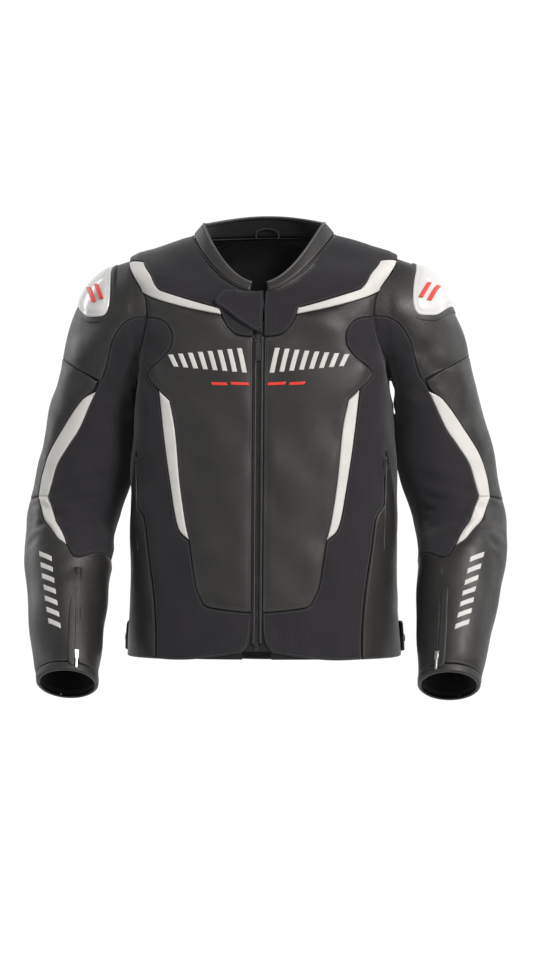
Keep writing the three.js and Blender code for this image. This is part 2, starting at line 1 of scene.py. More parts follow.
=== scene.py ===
"""Leather riding jacket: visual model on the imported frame.

Lengths below are millimetres with the hem at z = 0 and the front facing -Y. +X is the wearer's
left. row() turns them into the frame's metres.
"""
import math
from itertools import product

import bmesh
import bpy
import numpy as np
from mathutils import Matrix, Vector
from mathutils.geometry import delaunay_2d_cdt
from mathutils.kdtree import KDTree


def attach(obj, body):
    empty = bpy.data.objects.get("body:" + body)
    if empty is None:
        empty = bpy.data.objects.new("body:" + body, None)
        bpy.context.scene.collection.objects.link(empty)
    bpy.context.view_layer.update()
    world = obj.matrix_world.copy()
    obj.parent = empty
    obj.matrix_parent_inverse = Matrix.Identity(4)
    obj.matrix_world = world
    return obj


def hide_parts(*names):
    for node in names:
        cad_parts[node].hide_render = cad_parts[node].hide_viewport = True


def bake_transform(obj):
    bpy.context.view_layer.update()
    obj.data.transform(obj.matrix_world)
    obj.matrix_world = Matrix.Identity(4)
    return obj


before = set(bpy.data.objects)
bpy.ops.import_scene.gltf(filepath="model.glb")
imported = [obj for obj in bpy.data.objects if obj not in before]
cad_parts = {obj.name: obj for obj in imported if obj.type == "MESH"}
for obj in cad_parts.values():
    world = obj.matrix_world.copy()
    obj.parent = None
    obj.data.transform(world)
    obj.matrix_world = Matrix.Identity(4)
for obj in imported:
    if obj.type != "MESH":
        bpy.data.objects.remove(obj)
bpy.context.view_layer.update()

# ---- driving sizes ---------------------------------------------------------------------------------
HANGER = np.array([0.0, 52.5, 576.0])     # the frame's origin
FRONT_DEPTH = 130.0                       # how far the front stands before y = 0 at the hem
FRONT_LEAN = 0.08                         # how fast the front falls back with height
ARMHOLE_Y, ARMHOLE_Z, ARMHOLE_R = 14.0, 450.0, 84.0
ELBOW = (263.0, 15.0, 172.0)
LEAN = math.atan2(130, 202)               # how far the forearm leans forward
PANEL_SPACING = 6.5                       # distance between mesh points inside a panel
EDGE_SPACING = 3.5                        # distance between mesh points along its edge
EDGE_LOOPS = (0.45, 1.1, 2.0, 3.0, 4.2)   # support loops inside the edge
FEW_LOOPS = EDGE_LOOPS[:3]
MM_PER_UV = (2.6, 50)                     # rough size of a degree and of a ring step, for plain grids
STITCH_PITCH, STITCH_LENGTH, STITCH_RADIUS = 3.6, 2.6, 0.34
NECK = 11                                 # ring of the neck seam
EYE_DISTANCE, EYE_HEIGHT = 4000.0, 229.0  # where the front is seen from
SIDES = ((1, "left"), (-1, "right"))

# Rings of the body: half width, back depth, height at front, side and back, squareness.
BODY_RINGS = np.array([
    [183, 118, 0, 0, -12, 2.3], [179, 110, 70, 70, 62, 2.4], [178, 105, 150, 150, 145, 2.5],
    [178, 113, 240, 240, 240, 2.7], [173, 126, 315, 318, 320, 3.2], [167, 133, 372, 380, 385, 3.8],
    [165, 131, 415, 440, 445, 4.0], [170, 119, 448, 496, 500, 3.6], [179, 103, 462, 533, 532, 3.0],
    [143, 88, 470, 547, 549, 2.5], [112, 74, 477, 557, 560, 2.2], [95, 62, 482, 562, 567, 2.1],
], float)


def tilted(r, angle):
    return [0, -r * math.cos(angle), r * math.sin(angle)]


def sleeve_ring(outer, inner, y, depth):
    (xo, zo), (xi, zi) = outer, inner
    return [(xo + xi) / 2, y, (zo + zi) / 2, (xo - xi) / 2, 0, (zo - zi) / 2, 0, -depth, 0]


# Rings of the left sleeve: centre, vector to its outer side, vector to its front.
SLEEVE_RINGS = np.array([
    [148, 14, 450, 0, 0, 84, 0, -84, 0],
    [168, 14, 450, 0, 0, 84, 0, -84, 0],
    sleeve_ring((203, 521), (171, 358), 14, 82),
    sleeve_ring((236, 494), (173, 348), 14, 79),
    sleeve_ring((256, 452), (174, 337), 14, 74),
    sleeve_ring((272, 405), (175, 320), 14, 68),
    sleeve_ring((284, 355), (174, 302), 15, 64),
    sleeve_ring((300, 290), (175, 270), 16, 62),
    sleeve_ring((313, 232), (183, 225), 18, 61),
    [*ELBOW, 61, 0, 0, *tilted(61, LEAN / 2)],
    [263, -22, 115, 57, 0, 0, *tilted(56, LEAN)],
    [249, -117, -33, 39.5, 0, 0, *tilted(39, LEAN)],
], float)

COLLAR_TOP = {"half": 81, "back": 50, "front": -83, "zf": 493, "zs": 579, "zb": 592}


# ---- surfaces --------------------------------------------------------------------------------------
def row(points):
    return (np.asarray(points, float) - HANGER) / 1000


def unit(vectors):
    return vectors / np.maximum(np.linalg.norm(vectors, axis=1, keepdims=True), 1e-9)


def catmull_rom(p0, p1, p2, p3, f):
    return 0.5 * (2 * p1 + (p2 - p0) * f + (2 * p0 - 5 * p1 + 4 * p2 - p3) * f**2
                  + (3 * p1 - p0 - 3 * p2 + p3) * f**3)


def blend_rows(rows, t):
    """Smooth values between table rows at fractional positions t."""
    last = len(rows) - 1
    i = np.clip(np.floor(t).astype(int), 0, last - 1)
    around = (rows[np.clip(i + k, 0, last)] for k in (-1, 0, 1, 2))
    return catmull_rom(*around, (t - i)[:, None])


def front_y(z):
    return -(FRONT_DEPTH - FRONT_LEAN * z)


def angle_parts(uv):
    """(u, v) as an array, with the sine and cosine of each u."""
    uv = np.atleast_2d(np.asarray(uv, float))
    return uv, np.sin(np.radians(uv[:, 0])), np.cos(np.radians(uv[:, 0]))


def ring_height(c, front, side, back):
    return side + (np.where(c > 0, front, back) - side) * c * c


def body_at(uv):
    uv, s, c = angle_parts(uv)
    a, back, zf, zs, zb, n = blend_rows(BODY_RINGS, uv[:, 1]).T
    r = (np.abs(s) ** n + np.abs(c) ** n) ** (-1 / n)
    z = ring_height(c, zf, zs, zb)
    y = np.where(c > 0, front_y(z) * r * c, -back * r * c)
    return np.stack([a * r * s, y, z], 1)


def sleeve_at(uv):
    uv, s, c = angle_parts(uv)
    rows = blend_rows(SLEEVE_RINGS, uv[:, 1])
    late = uv[:, 1] > 10                  # the forearm is straight from here on
    f = (uv[late, 1] - 10)[:, None]
    rows[late] = SLEEVE_RINGS[10] * (1 - f) + SLEEVE_RINGS[11] * f
    return rows[:, :3] + rows[:, 3:6] * c[:, None] + rows[:, 6:9] * s[:, None]


def collar_at(uv):
    uv, s, c = angle_parts(uv)
    low = body_at(np.stack([uv[:, 0], np.full(len(uv), NECK)], 1))
    k = COLLAR_TOP
    y = np.where(c > 0, k["front"] * c, -k["back"] * c)
    high = np.stack([k["half"] * s, y, ring_height(c, k["zf"], k["zs"], k["zb"])], 1)
    return low + (high - low) * uv[:, 1:2]


class Surface:
    """A surface given by at(uv) -> points, u in degrees and v in ring positions."""

    DU, DV = 0.5, 0.02                    # small steps in u and v

    def __init__(self, at):
        self.at = at

    def steps(self, uv):
        """How a point moves as u grows, and as v grows."""
        uv = np.atleast_2d(np.asarray(uv, float))
        tu = (self.at(uv + [self.DU, 0]) - self.at(uv - [self.DU, 0])) / (2 * self.DU)
        tv = (self.at(uv + [0, self.DV]) - self.at(uv - [0, self.DV])) / (2 * self.DV)
        return tu, tv

    def normal(self, uv):
        return unit(np.cross(*self.steps(uv)))

    def lifted(self, uv, height):
        return self.at(uv) + self.normal(uv) * height


BODY = Surface(body_at)
SLEEVE = Surface(sleeve_at)
COLLAR = Surface(collar_at)


def seen_from_front(points):
    """x and z of points as seen from the front, scaled to the plane y = 0."""
    f = EYE_DISTANCE / (EYE_DISTANCE + points[:, 1])
    return np.stack([points[:, 0] * f, EYE_HEIGHT + (points[:, 2] - EYE_HEIGHT) * f], 1)


def finder(surface, u_values, v_values, axes, view, seen):
    """Function from a place in a view of the surface to the surface's (u, v)."""
    grid = np.array([[u, v] for u in u_values for v in v_values], float)
    grid = grid[seen(surface.normal(grid))]
    spots = view(surface.at(grid))

    def find(a, b):
        target = np.array([a, b], float)
        uv = grid[np.argmin(((spots - target) ** 2).sum(1))].copy()
        for _ in range(12):
            tu, tv = surface.steps(uv)
            m = np.stack([tu[0, axes], tv[0, axes]], 1)
            if abs(np.linalg.det(m)) < 1e-3:
                break
            step = np.linalg.solve(m, target - view(surface.at(uv))[0])
            uv += np.clip(step, [-4, -0.3], [4, 0.3])
        return tuple(uv)
    return find


def faces_front(normals):
    return normals[:, 1] < -0.02


body_uv = finder(BODY, np.arange(0, 92, 2), np.arange(0, 11.05, 0.1), [0, 2], seen_from_front, faces_front)
arm_uv = finder(SLEEVE, np.arange(-20, 200, 3), np.arange(0.5, 11.05, 0.1), [0, 2], seen_from_front,
                faces_front)
side_uv = finder(BODY, np.arange(20, 162, 2), np.arange(4.4, 9.2, 0.05), [1, 2], lambda p: p[:, 1:],
                 lambda n: np.full(len(n), True))


def armhole_uv(degrees, radius=ARMHOLE_R):
    """Point of the armhole's circle on the body: 0 at the front, 90 on top, 180 at the back."""
    a = math.radians(degrees)
    return side_uv(ARMHOLE_Y - radius * math.cos(a), ARMHOLE_Z + radius * math.sin(a))


def armhole(start, end, step=6, radius=ARMHOLE_R + 0.6):
    count = max(2, int(abs(end - start) / step) + 1)
    return [armhole_uv(d, radius) for d in np.linspace(start, end, count)]


def seam_positions(angles):
    """Ring position where the sleeve's straight start leaves the body, at each sleeve angle."""
    start, ring_gap = SLEEVE_RINGS[0][0], SLEEVE_RINGS[1][0] - SLEEVE_RINGS[0][0]
    values = []
    for phi in np.radians(angles):
        a = math.degrees(math.atan2(ARMHOLE_R * math.cos(phi), ARMHOLE_R * math.sin(phi)))
        x = BODY.at(armhole_uv(a))[0, 0]
        values.append((np.clip(x, start + 1, start + 23) - start) / ring_gap)
    return values


SEAM_ANGLES = np.arange(-180, 541, 6)
SEAM_POSITIONS = seam_positions(SEAM_ANGLES)


def sleeve_seam(angle):
    return float(np.interp(angle, SEAM_ANGLES, SEAM_POSITIONS))


# ---- curves ----------------------------------------------------------------------------------------
def path_length(points):
    """Distance along a line at each of its points."""
    return np.concatenate([[0], np.cumsum(np.linalg.norm(np.diff(points, axis=0), axis=1))])


def along_line(places, length, values):
    return np.stack([np.interp(places, length, column) for column in values.T], 1)


def spline(points, surface, spacing=EDGE_SPACING):
    """Dense smooth curve through (u, v) points, at even steps on the surface."""
    p = np.array(points, float)
    if len(p) == 2:
        return even(p[0] + (p[1] - p[0]) * np.linspace(0, 1, 40)[:, None], surface, spacing)
    q = np.vstack([2 * p[0] - p[1], p, 2 * p[-1] - p[-2]])
    f = np.linspace(0, 1, 16, endpoint=False)[:, None]
    dense = [catmull_rom(*q[i - 1:i + 3], f) for i in range(1, len(q) - 2)]
    return even(np.vstack(dense + [p[-1:]]), surface, spacing)


def even(dense, surface, spacing):
    """Takes points off a dense curve at even steps."""
    length = path_length(surface.at(dense))
    count = max(2, int(round(length[-1] / spacing)) + 1)
    return along_line(np.linspace(0, length[-1], count), length, dense)


def outline(surface, *curves):
    """Closed outline from curves joined end to start."""
    loop = []
    for i, curve in enumerate(curves):
        dense = spline(curve, surface)
        nxt = np.array(curves[(i + 1) % len(curves)][0], float)
        joined = np.linalg.norm(surface.at(dense[-1]) - surface.at(nxt)) < 0.4
        loop.append(dense[:-1] if joined else dense)
        if not joined:
            bridge = spline([dense[-1], nxt], surface)
            loop.append(bridge[1:-1])
    return np.vstack(loop)


def reverse(points):
    return list(points)[::-1]


def inside(points, loop):
    """Even-odd test of many points against a polygon."""
    x, y = points[:, 0][:, None], points[:, 1][:, None]
    x0, y0 = loop[:, 0][None], loop[:, 1][None]
    x1, y1 = np.roll(loop[:, 0], -1)[None], np.roll(loop[:, 1], -1)[None]
    cross = (y0 > y) != (y1 > y)
    with np.errstate(divide="ignore", invalid="ignore"):
        hit = x < (x1 - x0) * (y - y0) / (y1 - y0) + x0
    return (cross & hit).sum(1) % 2 == 1


# ---- panels ----------------------------------------------------------------------------------------
def inward_of(flat):
    """Unit vectors that point into a closed outline, which runs anticlockwise."""
    tangent = unit(np.roll(flat, -1, 0) - np.roll(flat, 1, 0))
    return np.stack([-tangent[:, 1], tangent[:, 0]], 1)


class Patch:
    """A sewn panel: points on a surface inside an outline, with the distance of each to its edge."""

    def __init__(self, surface, loop, spacing=PANEL_SPACING, loops=EDGE_LOOPS):
        self.surface = surface
        tu, tv = surface.steps(loop)
        self.scale = np.array([np.linalg.norm(tu, axis=1).mean(), np.linalg.norm(tv, axis=1).mean()])
        flat = loop * self.scale
        area = np.sum(flat[:, 0] * np.roll(flat[:, 1], -1) - np.roll(flat[:, 0], -1) * flat[:, 1])
        self.loop = loop if area > 0 else loop[::-1]
        self.edge = flat if area > 0 else flat[::-1]
        self.tree = self.edge_tree()
        self.rails = {d: self.rail(d, 0.8) for d in loops}
        rings = [points[good] for points, good in self.rails.values()]
        points = np.vstack([self.edge] + rings + [self.fill(spacing, loops)])
        out = delaunay_2d_cdt([Vector(p) for p in points], [], [list(range(len(flat)))], 1, 1e-5)
        self.uv = np.array([tuple(v) for v in out[0]]) / self.scale
        self.faces = [tuple(f) for f in out[2]]
        index = {old: new for new, group in enumerate(out[3]) for old in group}
        self.border = [index[i] for i in range(len(flat))]
        self.flat = self.uv * self.scale
        self.d = self.edge_distance(self.uv)

    def edge_tree(self):
        closed = np.vstack([self.loop, self.loop[:1]])
        f = np.linspace(0, 1, 4, endpoint=False)[None, :, None]
        dense = (closed[:-1, None] * (1 - f) + closed[1:, None] * f).reshape(-1, 2)
        tree = KDTree(len(dense))
        for i, p in enumerate(self.surface.at(dense)):
            tree.insert(p, i)
        tree.balance()
        return tree

    def edge_distance(self, uv):
        return np.array([self.tree.find(p)[2] for p in self.surface.at(uv)])

    def rail(self, d, least=0.85):
        """Curve at distance d inside the edge, and which of its points really lie that far in."""
        inward = inward_of(self.edge)
        real = self.edge_distance((self.edge + inward * d) / self.scale)
        points = self.edge + inward * d * np.clip(d / np.maximum(real, 0.05), 0.6, 1.7)[:, None]
        return points, inside(points, self.edge) & (self.edge_distance(points / self.scale) > least * d)

    def fill(self, spacing, loops):
        """Even points in the middle of the panel."""
        low, high = self.edge.min(0), self.edge.max(0)
        xs = np.arange(low[0], high[0] + spacing, spacing)
        ys = np.arange(low[1], high[1] + spacing, spacing * 0.87)
        grid = np.array([[x + (j % 2) * spacing / 2, y] for j, y in enumerate(ys) for x in xs])
        grid = grid[inside(grid, self.edge)]
        if not len(grid):
            return grid
        return grid[self.edge_distance(grid / self.scale) > loops[-1] + 0.55 * spacing]


def body_patch(*curves, **sizes):
    return Patch(BODY, outline(BODY, *curves), **sizes)


def sleeve_patch(*curves, **sizes):
    return Patch(SLEEVE, outline(SLEEVE, *curves), **sizes)


def edge_profile(d, thick, roll, puff, reach, grooves):
    x = np.clip(d / roll, 0, 1)
    h = thick * (np.sqrt(np.maximum(0, 1 - (1 - x) ** 2)) - 1) + puff * (1 - np.exp(-d / reach))
    for at, depth in grooves:
        h = h - depth * np.exp(-(((d - at) / 0.75) ** 2))
    return h


RNG = np.random.default_rng(11)
# Each wave: direction, phase and length.
WAVES = [(RNG.normal(size=3), RNG.uniform(0, 6.28), RNG.uniform(55, 130)) for _ in range(9)]


def waves(p, amount):
    """Slow uneven swelling of worn leather and cloth."""
    total = np.zeros(len(p))
    for direction, phase, length in WAVES:
        k = direction / np.linalg.norm(direction) * 2 * math.pi / length
        total += np.sin(p @ k + phase)
    return amount * total / 3


def along(p, a, b):
    """Distance from points to the segment a-b, and the position along it from 0 to 1."""
    a, b = np.array(a, float), np.array(b, float)
    t = np.clip((p - a) @ (b - a) / ((b - a) @ (b - a)), 0, 1)
    return np.linalg.norm(p - (a + t[:, None] * (b - a)), axis=1), t


# Creases: two ends, depth (negative is a valley) and half width.
CREASES = []


def crease_field(p):
    total = np.zeros(len(p))
    for a, b, amount, width in CREASES:
        d, t = along(p, a, b)
        near = d < 4 * width
        shape = np.exp(-((d / width) ** 2)) - 0.45 * np.exp(-(((d - 1.9 * width) / width) ** 2))
        total[near] += (1.35 * amount * shape * np.sin(math.pi * (0.12 + 0.76 * t)) ** 0.7)[near]
    return total


# ---- mesh making -----------------------------------------------------------------------------------
def mesh_object(name, points, faces, material, uv, smooth=True):
    """A mesh from points and UVs in millimetres; the mesh and its UVs are in metres."""
    mesh = bpy.data.meshes.new(name)
    mesh.from_pydata([tuple(p) for p in row(points)], [], [tuple(f) for f in faces])
    mesh.validate()
    layer = mesh.uv_layers.new(name="UVMap")
    loops = np.zeros(len(mesh.loops), int)
    mesh.loops.foreach_get("vertex_index", loops)
    layer.data.foreach_set("uv", (np.asarray(uv)[loops] / 1000).ravel())
    mesh.materials.append(material)
    mesh.polygons.foreach_set("use_smooth", [smooth] * len(mesh.polygons))
    obj = bpy.data.objects.new(name, mesh)
    bpy.context.collection.objects.link(obj)
    return obj


def on_side(points, side):
    return np.asarray(points) * np.array([side, 1, 1])


def flipped(faces, side):
    return [tuple(reversed(f)) for f in faces] if side < 0 else list(faces)


STITCHES = {}


def stitch(points, normals, key):
    """Adds one run of small thread humps along a line."""
    s = path_length(points)
    if s[-1] < STITCH_PITCH:
        return
    mids = np.arange(STITCH_PITCH / 2, s[-1], STITCH_PITCH)
    start = along_line(mids - STITCH_LENGTH / 2, s, points)
    end = along_line(mids + STITCH_LENGTH / 2, s, points)
    up = along_line(mids, s, normals)
    across = np.cross(unit(end - start), up)
    verts, faces = STITCHES.setdefault(key, ([], []))
    third = (end - start) * 0.28
    for a, b, c, n, w in zip(start, end, third, up, across):
        base = len(verts)
        wide, high, deep = w * STITCH_RADIUS, n * STITCH_RADIUS * 0.9, n * STITCH_RADIUS * 0.5
        verts.append(a - deep)
        for q in (a + c, b - c):
            verts += [q + wide, q + high, q - wide]
        verts.append(b - deep)
        faces += [(base, base + 1, base + 2), (base, base + 2, base + 3),
                  (base + 1, base + 4, base + 5, base + 2), (base + 2, base + 5, base + 6, base + 3),
                  (base + 7, base + 5, base + 4), (base + 7, base + 6, base + 5)]


def panel(name, patch, side, material, base=0.0, thick=2.2, roll=2.2, puff=0.9, reach=14.0,
          grooves=(), swell=0.5, seams=(), key=None, extra=None, skirt=2.6, closed=None, cap=None):
    """Builds one panel on one side, with its edge rolled down into the seam.

    A closed panel has a flat back at the height given by closed, and an open one ends in a skirt.
    Seams are the distances from the edge at which thread is sewn, as part of the stitching named key.
    """
    def height(uv, flat_d, points):
        h = base + edge_profile(flat_d, thick, roll, puff, reach, grooves)
        h += waves(points, swell) * np.clip(flat_d / 12, 0, 1)
        h += crease_field(points) * np.clip(flat_d / 4, 0.15, 1)
        if extra is not None:
            h += extra(uv, flat_d, points)
        return h if cap is None else np.minimum(h, cap(uv))

    ground = on_side(patch.surface.at(patch.uv), side)
    normals = on_side(patch.surface.normal(patch.uv), side)
    top = ground + normals * height(patch.uv, patch.d, ground)[:, None]
    points, uv, faces = list(top), list(patch.flat), flipped(patch.faces, side)
    count = len(points)
    bottom = base - thick - skirt if closed is None else closed
    border = patch.border
    for i in border:
        points.append(ground[i] + normals[i] * bottom)
        uv.append(patch.flat[i] + 0.5)
    m = len(border)
    skirt_faces = [(border[i], count + i, count + (i + 1) % m, border[(i + 1) % m]) for i in range(m)]
    faces += flipped(skirt_faces, side)
    if closed is not None:
        start = len(points)
        points += list(ground + normals * bottom)
        uv += list(patch.flat)
        at = {i: count + k for k, i in enumerate(border)}
        back = [tuple(at.get(i, start + i) for i in reversed(f)) for f in patch.faces]
        faces += flipped(back, side)
    obj = mesh_object(name, points, faces, material, uv)
    for d in seams:
        rail, good = patch.rails[d] if d in patch.rails else patch.rail(d)
        rail = rail / patch.scale
        base_pts = on_side(patch.surface.at(rail), side)
        ups = on_side(patch.surface.normal(rail), side)
        line = base_pts + ups * (height(rail, np.full(len(rail), d), base_pts) + 0.12)[:, None]
        start = 0
        good = list(good) + [False]
        for i, ok in enumerate(good):
            if ok and not (i and good[i - 1]):
                start = i
            if not ok and i and good[i - 1] and i - start > 2:
                stitch(line[start:i], ups[start:i], key)
    return obj


def quads(rows, count, wrap):
    """Faces of a grid of points that are listed row after row."""
    faces = []
    for j in range(rows - 1):
        for i in range(count if wrap else count - 1):
            k = (i + 1) % count
            faces.append((j * count + i, j * count + k, (j + 1) * count + k, (j + 1) * count + i))
    return faces


def grid_mesh(name, at, us, vs, material, wrap=False, side=1):
    """Plain grid over a parameter range."""
    uv = np.array([[u, v] for v in vs for u in us], float)
    faces = flipped(quads(len(vs), len(us), wrap), side)
    return mesh_object(name, on_side(at(uv), side), faces, material, uv * MM_PER_UV)


def circle(count, e1, e2):
    """Unit circle of points around each place, in the plane of its two vectors."""
    turn = 2 * math.pi * np.arange(count)[:, None] / count
    return np.cos(turn) * e1[..., None, :] + np.sin(turn) * e2[..., None, :]


def tube(name, points, radius, material, sides=8, side=1):
    """Round cord along a line."""
    p = on_side(points, side)
    run = unit(np.gradient(p, axis=0))
    e1 = unit(np.cross(run, [0.31, -0.62, 0.72]))
    verts = (p[:, None] + radius * circle(sides, e1, np.cross(run, e1))).reshape(-1, 3)
    uv = [(s, k * radius) for s in path_length(p) for k in range(sides)]
    faces = quads(len(p), sides, True)
    faces.append(tuple(range(sides))[::-1])
    faces.append(tuple(range(len(verts) - sides, len(verts))))
    return mesh_object(name, verts, faces, material, uv)


def join_objects(name, objects):
    """Merges meshes into the first one."""
    verts, faces, uvs, mats, slots = [], [], [], [], []
    for obj in objects:
        mesh = obj.data
        base = len(verts)
        verts += [tuple(v.co) for v in mesh.vertices]
        remap = []
        for m in mesh.materials:
            if m not in mats:
                mats.append(m)
            remap.append(mats.index(m))
        layer = mesh.uv_layers.active
        for poly in mesh.polygons:
            faces.append(tuple(base + i for i in poly.vertices))
            slots.append(remap[poly.material_index])
            for li in poly.loop_indices:
                uvs.append(tuple(layer.data[li].uv) if layer else (0.0, 0.0))
    mesh = bpy.data.meshes.new(name)
    mesh.from_pydata(verts, [], faces)
    layer = mesh.uv_layers.new(name="UVMap")
    layer.data.foreach_set("uv", np.array(uvs).ravel())
    for m in mats:
        mesh.materials.append(m)
    mesh.polygons.foreach_set("material_index", slots)
    smooth = [p.use_smooth for obj in objects for p in obj.data.polygons]
    mesh.polygons.foreach_set("use_smooth", smooth)
    for obj in objects:
        old = obj.data
        bpy.data.objects.remove(obj)
        bpy.data.meshes.remove(old)
    result = bpy.data.objects.new(name, mesh)
    bpy.context.collection.objects.link(result)
    return result


# ---- materials -------------------------------------------------------------------------------------
def nodes_of(name):
    material = bpy.data.materials.new(name)
    material.use_nodes = True
    tree = material.node_tree
    return material, tree, tree.nodes["Principled BSDF"]


def add_node(tree, kind, **values):
    node = tree.nodes.new(kind)
    for key, value in values.items():
        if key in node.inputs:
            node.inputs[key].default_value = value
        else:
            setattr(node, key, value)
    return node


def ramp(tree, source, low, high, out_low, out_high):
    node = add_node(tree, "ShaderNodeMapRange", **{"From Min": low, "From Max": high, "To Min": out_low,
                                                   "To Max": out_high})
    tree.links.new(source, node.inputs["Value"])
    return node.outputs["Result"]


def math_node(tree, operation, a, b):
    node = add_node(tree, "ShaderNodeMath", operation=operation)
    for i, v in enumerate((a, b)):
        if isinstance(v, (int, float)):
            node.inputs[i].default_value = v
        else:
            tree.links.new(v, node.inputs[i])
    return node.outputs[0]


def tinted(tree, source, dark, light):
    node = add_node(tree, "ShaderNodeValToRGB")
    node.color_ramp.elements[0].color = (*dark, 1)
    node.color_ramp.elements[1].color = (*light, 1)
    tree.links.new(source, node.inputs["Fac"])
    return node.outputs["Color"]


def textures(tree, **kinds):
    """Texture nodes laid on the piece's UVs, which are in metres. A key is the kind and a name."""
    uv = add_node(tree, "ShaderNodeTexCoord").outputs["UV"]
    nodes = []
    for kind, values in kinds.items():
        nodes.append(add_node(tree, "ShaderNodeTex" + kind.split("_")[0], **values))
        tree.links.new(uv, nodes[-1].inputs["Vector"])
    return nodes


def weighted(tree, *parts):
    """Sum of texture outputs, each times its weight."""
    total = None
    for source, weight in parts:
        part = math_node(tree, "MULTIPLY", source, weight)
        total = part if total is None else math_node(tree, "ADD", total, part)
    return total


def bumped(tree, shader, height, strength, distance):
    bump = add_node(tree, "ShaderNodeBump", Strength=strength, Distance=distance)
    tree.links.new(height, bump.inputs["Height"])
    tree.links.new(bump.outputs["Normal"], shader.inputs["Normal"])


def coloured(tree, shader, source, low, high, dark, light):
    shade = ramp(tree, source, low, high, 0.0, 1.0)
    tree.links.new(tinted(tree, shade, dark, light), shader.inputs["Base Color"])


def set_inputs(shader, values):
    for key, value in values.items():
        shader.inputs[key].default_value = value


def leather(name, dark, light, rough=(0.42, 0.56), grain=0.22, coat=0.12, grain_pitch=1.3):
    """Fine pebbled grain with slow tone changes and shinier worn spots."""
    material, tree, shader = nodes_of(name)
    pebbles, pores, creases, tone = textures(
        tree, Voronoi=dict(Scale=1000 / grain_pitch, feature="DISTANCE_TO_EDGE"),
        Noise_pores=dict(Scale=2600.0, Detail=2.0),
        Noise_creases=dict(Scale=160.0, Detail=5.0, Roughness=0.62),
        Noise_tone=dict(Scale=24.0, Detail=4.0, Roughness=0.55))
    cells = ramp(tree, pebbles.outputs["Distance"], 0.0, 0.16, 0.0, 1.0)
    height = weighted(tree, (cells, 0.5), (pores.outputs["Fac"], 0.3), (creases.outputs["Fac"], 1.6))
    bumped(tree, shader, height, grain, 0.0006)
    coloured(tree, shader, tone.outputs["Fac"], 0.3, 0.7, dark, light)
    worn = math_node(tree, "MULTIPLY", tone.outputs["Fac"], creases.outputs["Fac"])
    tree.links.new(ramp(tree, worn, 0.15, 0.38, rough[1], rough[0]), shader.inputs["Roughness"])
    set_inputs(shader, {"Coat Weight": coat, "Coat Roughness": 0.35, "Specular IOR Level": 0.36})
    return material


def weave(name, dark, light, pitch=0.9, rib=2.4, strength=0.5, sheen=0.25, rough=0.82):
    """Knitted stretch cloth: fine ribs one way, a finer cross thread the other."""
    material, tree, shader = nodes_of(name)
    ribs, threads, fuzz, tone = textures(
        tree, Wave_ribs=dict(bands_direction="X", Scale=314 / rib, Distortion=0.6),
        Wave_threads=dict(bands_direction="Y", Scale=314 / pitch, Distortion=1.0),
        Noise_fuzz=dict(Scale=900.0, Detail=3.0), Noise_tone=dict(Scale=30.0, Detail=4.0))
    ribs.inputs["Detail Scale"].default_value = 2.0
    height = weighted(tree, (ribs.outputs["Fac"], 0.6), (threads.outputs["Fac"], 0.4),
                      (fuzz.outputs["Fac"], 0.7))
    bumped(tree, shader, height, strength, 0.0005)
    both = math_node(tree, "MULTIPLY", tone.outputs["Fac"], ribs.outputs["Fac"])
    coloured(tree, shader, both, 0.1, 0.6, dark, light)
    set_inputs(shader, {"Roughness": rough, "Sheen Weight": sheen, "Sheen Roughness": 0.45,
                        "Specular IOR Level": 0.25})
    return material


def hard(name, dark, light, rough, metallic=0.0, coat=0.0, scuff=0.3):
    """Moulded or cast part with faint scuffs in its gloss."""
    material, tree, shader = nodes_of(name)
    scuffs, tone = textures(tree, Noise_scuffs=dict(Scale=420.0, Detail=6.0, Roughness=0.7),
                            Noise_tone=dict(Scale=40.0, Detail=3.0))
    gloss = ramp(tree, scuffs.outputs["Fac"], 0.35, 0.75, rough, rough + scuff)
    tree.links.new(gloss, shader.inputs["Roughness"])
    coloured(tree, shader, tone.outputs["Fac"], 0.3, 0.7, dark, light)
    bumped(tree, shader, scuffs.outputs["Fac"], 0.08, 0.0003)
    set_inputs(shader, {"Metallic": metallic, "Coat Weight": coat, "Coat Roughness": 0.12})
    return material


def grey(value, warm=0.0):
    return (value * (1 + warm), value, value * (1 - warm))


LEATHER = leather("black_leather_grain", grey(0.012, 0.03), grey(0.020, 0.04), coat=0.06)
# Sleeve leather: the body's leather with a darker colour, which is painted shade on the sleeves, and with
# less roughness and stronger grain.
SHADED_SLEEVE_LEATHER = leather("sleeve_leather_grain", grey(0.010, 0.03), grey(0.018, 0.04), rough=(0.36, 0.5),
                         grain=0.3, coat=0.06)
WHITE = leather("white_leather_grain", (0.455, 0.445, 0.43), (0.52, 0.51, 0.495), rough=(0.46, 0.6),
                grain=0.14, coat=0.05)
TEXTILE = weave("stretch_textile_weave", (0.010, 0.009, 0.0115), (0.018, 0.0165, 0.0205), sheen=0.2)
LINING = weave("lining_mesh", (0.006, 0.006, 0.007), (0.013, 0.013, 0.014), pitch=1.6, rib=1.6, sheen=0.1)
TAPE = weave("zip_tape_weave", (0.007, 0.007, 0.008), (0.014, 0.014, 0.015), pitch=0.7, rib=1.0)
PIPING = leather("piping_leather", grey(0.045), grey(0.07), rough=(0.4, 0.5), grain_pitch=0.8)
THREAD = weave("sewing_thread", grey(0.05), grey(0.075), pitch=0.5, rib=0.5, strength=0.3, rough=0.6)
CUP = hard("hard_cup_plastic", (0.48, 0.48, 0.475), (0.535, 0.535, 0.53), 0.24, coat=0.5, scuff=0.18)
METAL = hard("dull_nickel", grey(0.30), grey(0.40), 0.28, metallic=1.0)
BLACK_METAL = hard("black_plated_metal", grey(0.03), grey(0.05), 0.3, metallic=0.6)
TEETH = hard("moulded_teeth", grey(0.02), grey(0.035), 0.35)
FOAM = hard("armour_foam_skin", (0.05, 0.055, 0.06), (0.075, 0.08, 0.085), 0.6, scuff=0.2)
RED = leather("red_leather_print", (0.55, 0.03, 0.02), (0.62, 0.04, 0.03), grain=0.1)

PIECES = []


